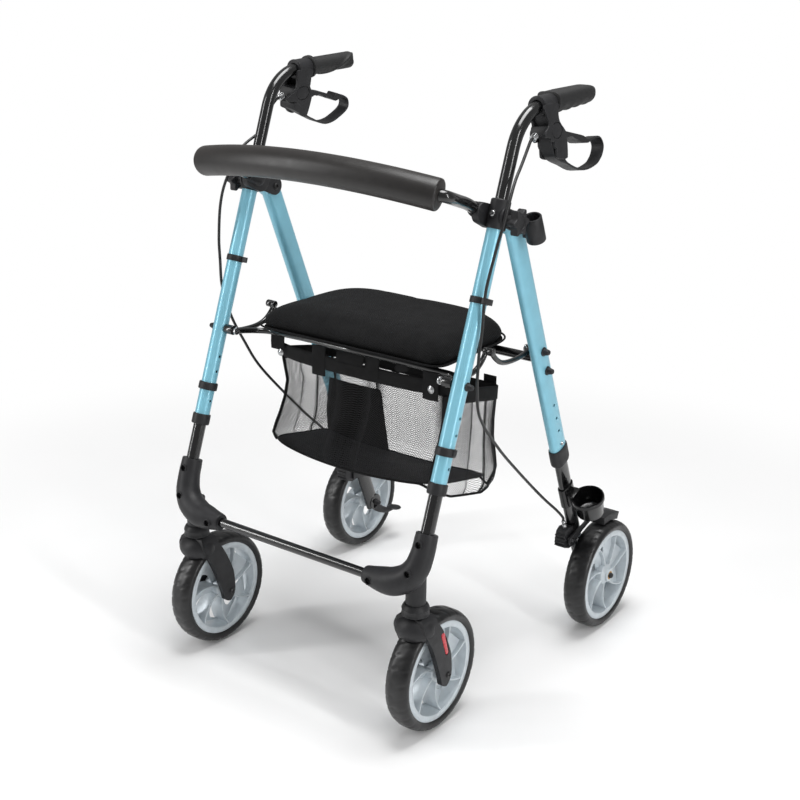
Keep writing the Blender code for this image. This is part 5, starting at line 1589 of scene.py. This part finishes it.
def closed_sweep(bm, ring, radius, sides=10):
    """A round cord along a closed ring of points."""
    points = [Vector(point) for point in ring]
    count = len(points)
    part = bmesh.new()
    loops = []
    for i in range(count):
        tangent = (points[(i + 1) % count] - points[i - 1]).normalized()
        side = tangent.cross(Vector((0.0, 0.0, 1.0))).normalized()
        place = Matrix.Translation(points[i]) @ axes(side, side.cross(tangent), tangent)
        made = bmesh.ops.create_circle(part, cap_ends=False, segments=sides, radius=radius, matrix=place)
        loops.append(edges_of(made["verts"]))
    for first, second in zip(loops, loops[1:] + loops[:1]):
        bmesh.ops.bridge_loops(part, edges=first + second)
    join(bm, part)


def inflate(obj, cap, floor, ceiling):
    """Swells a closed pad with a short cloth simulation and keeps each point near where it started."""
    remesh = obj.modifiers.new("remesh", "REMESH")
    remesh.mode = "VOXEL"
    remesh.voxel_size = 0.005
    apply_all(obj)
    rest = [vert.co.copy() for vert in obj.data.vertices]
    cloth = obj.modifiers.new("cloth", "CLOTH")
    cloth.settings.use_pressure = True
    cloth.settings.uniform_pressure_force = 4.0
    cloth.settings.tension_stiffness = 25
    cloth.settings.compression_stiffness = 25
    cloth.settings.bending_stiffness = 1.5
    cloth.settings.effector_weights.gravity = 0.0
    cloth.settings.quality = 6
    cloth.point_cache.frame_end = 20
    scene = bpy.context.scene
    for number in range(1, 21):
        scene.frame_set(number)
    apply_all(obj)
    scene.frame_set(1)
    for vert, start in zip(obj.data.vertices, rest):
        moved = vert.co - start
        if moved.length > cap:
            vert.co = start + moved.normalized() * cap
        vert.co.z = min(max(vert.co.z, floor), ceiling)
    smooth = obj.modifiers.new("smooth", "SMOOTH")
    smooth.factor = 0.5
    smooth.iterations = 3
    divide = obj.modifiers.new("divide", "SUBSURF")
    divide.levels = 1
    divide.render_levels = 1
    apply_all(obj)
    obj.data.shade_smooth()


def apply_all(obj):
    """Replaces an object's mesh by what its modifiers make of it."""
    finish = obj.data.materials[0]
    bm = baked(obj)
    obj.modifiers.clear()
    bm.to_mesh(obj.data)
    bm.free()
    if not obj.data.materials:
        obj.data.materials.append(finish)


# Basket

BASKET_COUNT = 224
BASKET_HALF = (
    (0.0, 0.179), (0.06, 0.182), (0.18, 0.176), (0.3, 0.173), (0.47, 0.171), (0.65, 0.17), (0.85, 0.176),
    (1.0, 0.178),
)
BASKET_RIGHT = (
    (0.0, 0.18), (0.06, 0.186), (0.3, 0.184), (0.47, 0.183), (0.65, 0.184), (0.85, 0.188), (1.0, 0.19),
)
BASKET_SHIFT = (
    (0.0, -0.017), (0.06, -0.024), (0.18, -0.021), (0.3, -0.013), (0.47, -0.002), (0.65, 0.005),
    (0.85, 0.003), (1.0, 0.002),
)
BASKET_DROP = ((-0.14, 0.008), (-0.1, 0.022), (-0.025, 0.026), (0.005, 0.015), (0.02, 0.0))
BASKET_REAR = ((0.0, 0.008), (0.1, 0.022), (0.25, 0.02), (0.45, 0.015), (1.0, 0.012))
BASKET_RIM = ((-0.16, 0.541), (-0.134, 0.541), (-0.108, 0.526), (-0.06, 0.516), (0.005, 0.501), (0.03, 0.5))


def basket_point(turn, level, inset=0.0, loose=True):
    """A point of the basket wall: turn goes once round, level from 0 at the floor to 1 at the rim."""
    angle = 2 * pi * turn
    c, s = cos(angle), sin(angle)
    half_x = between(level, BASKET_HALF if c < 0 else BASKET_RIGHT) - inset
    front = -0.131 - 0.006 * level + inset
    rear = between(level, BASKET_REAR) - inset
    power = 0.28 if s < 0 else 0.15
    u = squared(c, power)
    v = squared(s, power)
    # The front leans to one side as it goes down
    x = half_x * u + between(level, BASKET_SHIFT) * (0.5 - 0.5 * v) ** 1.5
    y = (front + rear) / 2 + (rear - front) / 2 * v
    floor_z = 0.3403 - 0.146 * (y - 0.006)
    bow = (1 - min(1.0, abs(u)) ** 2) * abs(v)
    if v < 0:
        y -= (0.02 - 0.01 * level) * bow
        floor_z -= 0.008 * bow
    else:
        floor_z -= 0.01 * bow
    if loose:
        # The right side panel hangs below the floor
        share = min(1.0, max(0.0, (u - 0.8) / 0.16))
        floor_z -= between(y, BASKET_DROP) * share * share * (3 - 2 * share)
        x += 0.004 * share * (1 - level)
    return Vector((x, y, floor_z + level * (between(y, BASKET_RIM) - floor_z)))


def basket_sag(turn, level):
    """Inward and outward give of the mesh between its bands, in metres, from broad folds."""
    middle = sin(pi * level)
    broad = 0.002 * sin(2 * pi * turn * 5 + 1.1 + 1.6 * level)
    fine = 0.0013 * sin(2 * pi * turn * 13 + 5.0 * level) * sin(2 * pi * turn * 3 + 0.6)
    return middle * (broad + fine)


def ring_turns(count):
    """Turns that step evenly along the basket's outline rather than by angle."""
    samples = 2000
    points = [basket_point(i / samples, 0.5) for i in range(samples + 1)]
    lengths = [0.0]
    for a, b in zip(points, points[1:]):
        lengths.append(lengths[-1] + (b - a).length)
    turns, k = [], 0
    for i in range(count):
        goal = lengths[-1] * i / count
        while lengths[k + 1] < goal:
            k += 1
        share = (goal - lengths[k]) / max(1e-9, lengths[k + 1] - lengths[k])
        turns.append((k + share) / samples)
    return turns


def skin(bm, rows, closed=True):
    """Faces between rows of vertices, which close into rings or stay open."""
    for lower, upper in zip(rows, rows[1:]):
        for i in range(len(lower) - (not closed)):
            j = (i + 1) % len(lower)
            bm.faces.new((lower[i], lower[j], upper[j], upper[i]))


def wall_grid(bm, turns, levels, inset=0.0, sagged=True):
    """A grid of faces round the basket wall."""
    rings = []
    for level in levels:
        ring = []
        for turn in turns:
            point = basket_point(turn % 1.0, level, inset)
            if sagged:
                out = (point - Vector((0.0, -0.055, point.z))).normalized()
                point += out * basket_sag(turn, level)
            ring.append(bm.verts.new(point))
        rings.append(ring)
    skin(bm, rings)


def make_basket_mesh(sizes):
    """Open mesh of the walls: a diagonal net of threads, made from a grid's edges."""
    turns = ring_turns(int(1.02 / sizes.mesh_pitch))
    count = int(0.19 / sizes.mesh_pitch)
    levels = [0.01 + 0.88 * i / count for i in range(count + 1)]
    bm = shaped(wall_grid, turns, levels, inset=0.0006)
    diagonal_net(bm)
    threads_of(piece("basket_net", bm, "thread", "frame", ["basket"]), sizes)


def threads_of(net, sizes):
    """Turns the edges of a net into threads."""
    wires = net.modifiers.new("threads", "WIREFRAME")
    wires.thickness = sizes.mesh_thread
    wires.use_even_offset = False
    wires.use_replace = True
    apply_all(net)


def diagonal_net(bm):
    """Swaps the edges of a grid for their diagonals."""
    bmesh.ops.poke(bm, faces=bm.faces)
    inner = [edge for edge in bm.edges if len(edge.link_faces) == 2]
    drop = [edge for edge in inner if all(len(vert.link_edges) != 4 for vert in edge.verts)]
    bmesh.ops.dissolve_edges(bm, edges=drop, use_verts=False)


def make_basket_floor():
    """Solid floor cloth, bowed down a little, and the piping of the walls' lower edge."""
    turns = ring_turns(BASKET_COUNT)
    rim = [basket_point(turn, 0.0, 0.0035, loose=False) for turn in turns]
    middle = sum(rim, Vector()) / len(rim)
    rings = []
    for share in (0.0, 0.03, 0.1, 0.25, 0.45, 0.65, 0.85):
        drop = Vector((0.0, 0.0, 0.0035 * sin(pi * share * 0.55)))
        rings.append([point.lerp(middle, share) - drop for point in rim])
    bm = shaped(open_loft, rings)
    thicken(piece("basket_floor", bm, "basket_floor", "frame", ["basket"]), 0.0018)
    bm = shaped(closed_sweep, [basket_point(turn, 0.0, 0.0015) for turn in turns], 0.0021, sides=12)
    piece("basket_lower_piping", bm, "webbing", "frame")


def open_loft(bm, rings):
    """Faces between rings of points, closed in the middle of the last one."""
    loops = [[bm.verts.new(point) for point in ring] for ring in rings]
    skin(bm, loops)
    last = loops[-1]
    middle = bm.verts.new(sum((vert.co for vert in last), Vector()) / len(last))
    for a, b in zip(last, last[1:] + last[:1]):
        bm.faces.new((a, b, middle))


def make_basket_trim():
    """Webbing round the rim and cord piping up the corners."""
    turns = ring_turns(BASKET_COUNT)
    bm = shaped(wall_grid, turns, [0.87, 0.9, 0.93, 0.97, 1.0], inset=-0.0004, sagged=False)
    thicken(piece("basket_rim_band", bm, "webbing", "frame", ["basket"]), 0.0022)
    bm = bmesh.new()
    for turn, radius in ((0.125, 0.0026), (0.375, 0.0022), (0.612, 0.0028), (0.88, 0.0046)):
        path = [basket_point(turn, 0.88 * i / 26, -0.0006) for i in range(27)]
        sweep(bm, path, radius, sides=12)
    piece("basket_piping", bm, "webbing", "frame")


def strap(bm, path, width, thickness=0.0016):
    """A flat strap along a path. Its width runs across the object."""

    def flat(point):
        x = 0.5 * width * squared(point.x, 0.25)
        y = 0.5 * thickness * squared(point.y, 0.6)
        return Vector((x, y, 0.0))

    sweep(bm, path, 1.0, sides=20, shape=flat)


def make_basket_straps():
    """Straps that hang the basket from the seat's front bail, its pull loop and its corner snaps."""
    bm = bmesh.new()
    for x, low, high in ((-0.0685, 0.505, 0.556), (0.0425, 0.522, 0.557)):
        strap(bm, [(x, -0.1476, low), (x, -0.1476, (low + high) / 2), (x, -0.1466, high)], 0.0285, 0.0018)
    pull = mm((0, -148, 556), (0, -150, 552), (0, -152, 544), (0, -152.4, 540))
    strap(bm, pull, 0.056, 0.0018)
    strap(bm, [(0.1, -0.143, 0.543), (0.095, -0.1432, 0.556), (0.09, -0.143, 0.558)], 0.026, 0.0016)
    for x, y, low, high in ((0.154, -0.141, 0.508, 0.554), (-0.1635, -0.141, 0.53, 0.554)):
        strap(bm, [(x, y, low), (x, y - 0.0008, (low + high) / 2), (x, y, high)], 0.03, 0.0018)
    strap(bm, [(0.165, 0.0142, 0.48), (0.165, 0.0152, 0.496), (0.165, 0.015, 0.512)], 0.025, 0.0016)
    piece("basket_straps", bm, "webbing", "frame", ["basket"])
    bm = bmesh.new()
    for sign in (-1, 1):
        base = Vector((sign * 0.156, -0.1428, 0.526))
        profile = mm((0, 0), (6.2, 0), (6.2, 0.6), (5.2, 1), (4.4, 2), (2.4, 2.7), (0, 2.9))
        turned(bm, profile, base, (0.0, -1.0, 0.0), steps=32)
    piece("basket_snaps", bm, "zinc", "frame")


POCKET_LEFT = ((0.0, -0.168), (0.12, -0.173), (0.45, -0.178), (1.0, -0.174))
POCKET_RIGHT = ((0.0, -0.032), (0.6, -0.048), (0.95, -0.056), (1.0, -0.06))


def make_basket_pocket():
    """Flat black pocket on the inside of the rear panel."""
    bm = bmesh.new()
    rows, columns = 14, 20
    grid = []
    for j in range(rows + 1):
        level = j / rows
        left, right = between(level, POCKET_LEFT), between(level, POCKET_RIGHT)
        row = []
        for i in range(columns + 1):
            share = i / columns
            bulge = 0.006 * sin(pi * share) * sin(pi * (0.15 + 0.75 * level))
            point = (left + (right - left) * share, 0.002 + 0.008 * level - bulge, 0.331 + 0.108 * level)
            row.append(bm.verts.new(point))
        grid.append(row)
    skin(bm, grid, closed=False)
    thicken(piece("basket_pocket", bm, "webbing", "frame"), 0.0014)


# Brake cables

UPPER_CABLE = {
    "left": mm(
        (-251.4, -29.4, 933.1), (-251.8, -37, 930.1), (-253.5, -49.5, 916.5), (-256, -70, 883),
        (-262, -115, 856), (-266, -148, 808.4), (-266, -164, 768.5), (-264, -172, 715), (-263, -172.2, 678.6),
    ),
    "right": mm(
        (251.4, -29.2, 912.3), (251.8, -35.3, 909.9), (254.5, -50, 896), (260, -72, 879), (268, -101, 860),
        (274, -125, 832), (273, -136, 802), (269, -143, 775), (263, -159, 715), (263, -165, 686.6),
    ),
}
LOWER_CABLE = {
    "left": mm(
        (-263, -172, 678), (-265, -168, 635), (-265, -159, 605), (-260, -150, 570), (-249, -135, 530),
        (-239, -100, 470), (-235, -3, 370), (-239, 70, 306), (-245, 122, 258), (-248, 139.9, 233.9),
        (-248, 142.7, 226.9),
    ),
    "right": mm(
        (263, -165, 686), (264.5, -170, 650), (264.5, -176, 615), (262, -174, 585), (258, -168, 555),
        (249, -143, 500), (238, -70, 427), (235, -3.5, 366.2), (237, 79.3, 291.6), (244, 122, 253),
        (248, 139.9, 233.9), (248, 142.7, 226.9),
    ),
}
CLIP_Z = {"left": 0.678, "right": 0.687}


def make_cables(sizes):
    radius = sizes.cable_radius
    for side in SIDES:
        path = smooth_path(UPPER_CABLE[side], 8)
        bm = shaped(sweep, path, radius, sides=16)
        cable = piece("cable_upper_" + side, bm, "sheath", None, ["brake_cable_upper_" + side])
        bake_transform(cable)
        path = smooth_path(LOWER_CABLE[side], 8)
        # One run to the rear leg and one down to the brake, because a joint lies in each
        split = len(path) - 22
        runs = (
            ("cable_lower_" + side, path[: split + 1], "frame", "rear_frame", 10, split - 2),
            (
                "cable_foot_" + side, path[split:], "rear_frame", "lower_rear_leg_" + side, 2,
                len(path) - split - 6,
            ),
        )
        for name, run, before, after, first, last in runs:
            bm = shaped(sweep, run, radius, sides=16)
            cable = piece(name, bm, "sheath", None, ["brake_cable_lower_" + side])
            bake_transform(cable)
    make_cable_clips()


def make_cable_clips():
    """Plastic bands that hold the cables to the front legs."""
    for side in SIDES:
        z = CLIP_Z[side]
        centre = on_front(z, side)
        ring = mm((12.8, -5), (14, -5), (14.4, -4.4), (14.4, 4.4), (14, 5), (12.8, 5))
        bm = shaped(turned, ring, centre, FRONT_UP, closed=True)
        tab = along(centre, FRONT_UP)
        cable = tab.inverted() @ Vector(UPPER_CABLE[side][-1])
        if side == "left":
            # The strap's cut end points inwards here, and the cable runs free behind the leg
            block(bm, (0.013, -0.0012, -0.0046), (0.027, 0.0012, 0.0046), tab, 0.0005)
        else:
            low = (min(0.0135, cable.x + 0.0045), -0.003 + min(0.0, cable.y), -0.0046)
            high = (max(0.0135, cable.x + 0.0045), 0.003 + max(0.0, cable.y), 0.0046)
            block(bm, low, high, tab, 0.0008)
        piece("cable_clip_" + side, bm, "nylon", "frame")


# Studio


def make_camera():
    azimuth, elevation, roll = CAMERA_AZIMUTH, CAMERA_ELEVATION, CAMERA_ROLL
    level = cos(elevation)
    back = Vector((sin(azimuth) * level, -cos(azimuth) * level, sin(elevation)))
    right = (-back).cross(Vector((0.0, 0.0, 1.0))).normalized()
    up = right.cross(-back)
    across = cos(roll) * right + sin(roll) * up
    upward = -sin(roll) * right + cos(roll) * up
    camera = bpy.data.objects.new("camera", bpy.data.cameras.new("camera"))
    camera.matrix_world = Matrix.Translation(CAMERA_PLACE) @ axes(across, upward, back)
    camera.data.lens = CAMERA_LENS
    camera.data.sensor_width = 36.0
    camera.data.clip_end = 40.0
    bpy.context.scene.collection.objects.link(camera)
    bpy.context.scene.camera = camera


def make_lamp(name, place, aim, size, watts):
    lamp = bpy.data.lights.new(name, "AREA")
    lamp.shape = "RECTANGLE"
    lamp.size, lamp.size_y = size
    lamp.energy = watts
    obj = bpy.data.objects.new(name, lamp)
    turn = (Vector(aim) - Vector(place)).to_track_quat("-Z", "Y")
    obj.matrix_world = Matrix.Translation(place) @ turn.to_matrix().to_4x4()
    bpy.context.scene.collection.objects.link(obj)


def make_stage(colours):
    bm = bmesh.new()
    bmesh.ops.create_grid(bm, x_segments=1, y_segments=1, size=60.0)
    mesh = bpy.data.meshes.new("studio_floor")
    bm.to_mesh(mesh)
    bm.free()
    floor = bpy.data.objects.new("studio_floor", mesh)
    floor.location.z = -0.0006
    bpy.context.scene.collection.objects.link(floor)
    # Matt studio paper that catches the object's shadow and fades to the white backdrop away from it
    material, tree, shader, places = blank("studio_paper")
    tinted(tree, shader, places, tuple(colours.floor_white), 0.01, 0.5)
    shader.inputs["Roughness"].default_value = 0.9
    far = add(tree, "ShaderNodeVectorMath", {"operation": "LENGTH"}, places)
    limits = {"From Min": 0.75, "From Max": 1.6, "interpolation_type": "SMOOTHSTEP"}
    fade = add(tree, "ShaderNodeMapRange", limits, Value=far.outputs["Value"])
    seen = add(tree, "ShaderNodeLightPath").outputs["Is Camera Ray"]
    share = add(tree, "ShaderNodeMath", {"operation": "MULTIPLY"}, seen, fade.outputs["Result"])
    backdrop = add(tree, "ShaderNodeEmission", {"Color": (1, 1, 1, 1), "Strength": 1.0})
    sockets = share.outputs["Value"], shader.outputs["BSDF"], backdrop.outputs["Emission"]
    both = add(tree, "ShaderNodeMixShader", None, *sockets)
    tree.links.new(both.outputs["Shader"], tree.nodes["Material Output"].inputs["Surface"])
    mesh.materials.append(material)
    world = bpy.data.worlds.new("studio")
    bpy.context.scene.world = world
    world.use_nodes = True
    tree = world.node_tree
    light = tree.nodes["Background"]
    light.inputs["Color"].default_value = (*linear("#FFFFFF"), 1)
    light.inputs["Strength"].default_value = 0.34
    white = add(tree, "ShaderNodeBackground", {"Strength": 1.0, "Color": (1, 1, 1, 1)})
    seen = add(tree, "ShaderNodeLightPath").outputs["Is Camera Ray"]
    mix = add(
        tree, "ShaderNodeMixShader", None, seen, light.outputs["Background"], white.outputs["Background"],
    )
    tree.links.new(mix.outputs["Shader"], tree.nodes["World Output"].inputs["Surface"])
    make_lamp("key", (-1.7, -1.9, 1.4), (0.0, 0.0, 0.5), (0.16, 2.2), 26)
    make_lamp("fill", (2.3, -0.6, 1.4), (0.0, 0.0, 0.5), (0.16, 2.2), 24)
    make_lamp("top", (0.25, 0.0, 3.0), (0.0, 0.0, 0.0), (1.6, 1.3), 64)
    bpy.context.scene.view_settings.view_transform = "Standard"


# Operators


def finished(names):
    """Raises an error where a piece of that name is missing."""
    for name in names:
        if name not in bpy.data.objects:
            raise RuntimeError(name + " was not made")
    return {"FINISHED"}


class ROLLATOR_OT_side_frames(Operator):
    """Blue front legs, their pivots, collars and rings, and the top brackets with knobs and stick loop"""

    bl_idname = "rollator.side_frames"
    bl_label = "Side frames"

    def execute(self, context):
        sizes = context.scene.rollator_sizes
        make_front_legs(sizes)
        make_top_brackets()
        make_star_knobs()
        make_stick_loop()
        return finished(["front_leg_tube_left", "walking_stick_loop"])


class ROLLATOR_OT_backrest(Operator):
    """Backrest tube and its foam sleeve"""

    bl_idname = "rollator.backrest"
    bl_label = "Backrest"

    def execute(self, context):
        make_backrest(context.scene.rollator_sizes)
        return finished(["backrest_foam"])


class ROLLATOR_OT_handles(Operator):
    """Handle tubes, grips, brake housings and hand levers"""

    bl_idname = "rollator.handles"
    bl_label = "Handles and brake levers"

    def execute(self, context):
        sizes = context.scene.rollator_sizes
        make_handles(sizes)
        make_brake_housings()
        make_brake_levers()
        return finished(["hand_grip_right", "brake_loop_lever_left"])


class ROLLATOR_OT_rear_frame(Operator):
    """Blue rear legs, their collars, the cross tube and the side links"""

    bl_idname = "rollator.rear_frame"
    bl_label = "Rear frame"

    def execute(self, context):
        make_rear_legs()
        make_rear_links()
        return finished(["rear_leg_tube_left", "link_bar_right"])


class ROLLATOR_OT_rear_feet(Operator):
    """Lower rear legs with pedals and buttons, the stick cup and the wheel brakes"""

    bl_idname = "rollator.rear_feet"
    bl_label = "Rear feet"

    def execute(self, context):
        make_rear_feet()
        make_stick_cup()
        make_rear_brakes()
        return finished(["stick_holder_cup", "brake_shoe_left"])


class ROLLATOR_OT_front_feet(Operator):
    """Inner tubes, elbows, cross bar and caster forks"""

    bl_idname = "rollator.front_feet"
    bl_label = "Front feet"

    def execute(self, context):
        make_front_feet()
        return finished(["caster_fork_left"])


class ROLLATOR_OT_wheels(Operator):
    """Four spoked wheels and their tyres"""

    bl_idname = "rollator.wheels"
    bl_label = "Wheels"

    def execute(self, context):
        make_wheels(context.scene.rollator_sizes)
        return finished(["rear_rim_left", "front_tyre_tread_right"])


class ROLLATOR_OT_seat(Operator):
    """Seat frame and padded seat"""

    bl_idname = "rollator.seat"
    bl_label = "Seat"

    def execute(self, context):
        make_seat_frame()
        make_seat_pad()
        return finished(["seat_cushion"])


class ROLLATOR_OT_basket(Operator):
    """Mesh basket with its floor, bands, piping, straps, snaps and pocket"""

    bl_idname = "rollator.basket"
    bl_label = "Basket"

    def execute(self, context):
        sizes = context.scene.rollator_sizes
        make_basket_mesh(sizes)
        make_basket_floor()
        make_basket_trim()
        make_basket_straps()
        make_basket_pocket()
        return finished(["basket_net", "basket_pocket"])


class ROLLATOR_OT_cables(Operator):
    """Brake cables and the clips that hold them"""

    bl_idname = "rollator.cables"
    bl_label = "Brake cables"

    def execute(self, context):
        make_cables(context.scene.rollator_sizes)
        return finished(["cable_upper_left", "cable_clip_right"])


class ROLLATOR_OT_stage(Operator):
    """Camera, floor and studio light"""

    bl_idname = "rollator.stage"
    bl_label = "Studio"

    def execute(self, context):
        make_camera()
        make_stage(context.scene.rollator_colours)
        return finished(["camera", "studio_floor"])


class ROLLATOR_PT_panel(Panel):
    bl_label = "Rollator"
    bl_idname = "ROLLATOR_PT_panel"
    bl_space_type = "VIEW_3D"
    bl_region_type = "UI"
    bl_category = "Rollator"

    def draw(self, context):
        for group in (context.scene.rollator_sizes, context.scene.rollator_colours):
            for name in group.__annotations__:
                self.layout.prop(group, name)
        for operator in OPERATORS:
            self.layout.operator(operator.bl_idname)


OPERATORS = (
    ROLLATOR_OT_stage, ROLLATOR_OT_cables, ROLLATOR_OT_side_frames, ROLLATOR_OT_backrest, ROLLATOR_OT_handles,
    ROLLATOR_OT_rear_frame, ROLLATOR_OT_rear_feet, ROLLATOR_OT_front_feet, ROLLATOR_OT_wheels,
    ROLLATOR_OT_seat, ROLLATOR_OT_basket,
)
CLASSES = (RollatorSizes, RollatorColours, *OPERATORS, ROLLATOR_PT_panel)


def register():
    for made in CLASSES:
        bpy.utils.register_class(made)
    bpy.types.Scene.rollator_sizes = PointerProperty(type=RollatorSizes)
    bpy.types.Scene.rollator_colours = PointerProperty(type=RollatorColours)


def unregister():
    del bpy.types.Scene.rollator_colours
    del bpy.types.Scene.rollator_sizes
    for made in reversed(CLASSES):
        bpy.utils.unregister_class(made)


def main():
    register()
    bpy.ops.rollator.stage()
    bpy.ops.rollator.cables()
    bpy.ops.rollator.side_frames()
    bpy.ops.rollator.backrest()
    bpy.ops.rollator.handles()
    bpy.ops.rollator.rear_frame()
    bpy.ops.rollator.rear_feet()
    bpy.ops.rollator.front_feet()
    bpy.ops.rollator.wheels()
    bpy.ops.rollator.seat()
    bpy.ops.rollator.basket()


if __name__ == "__main__":
    main()
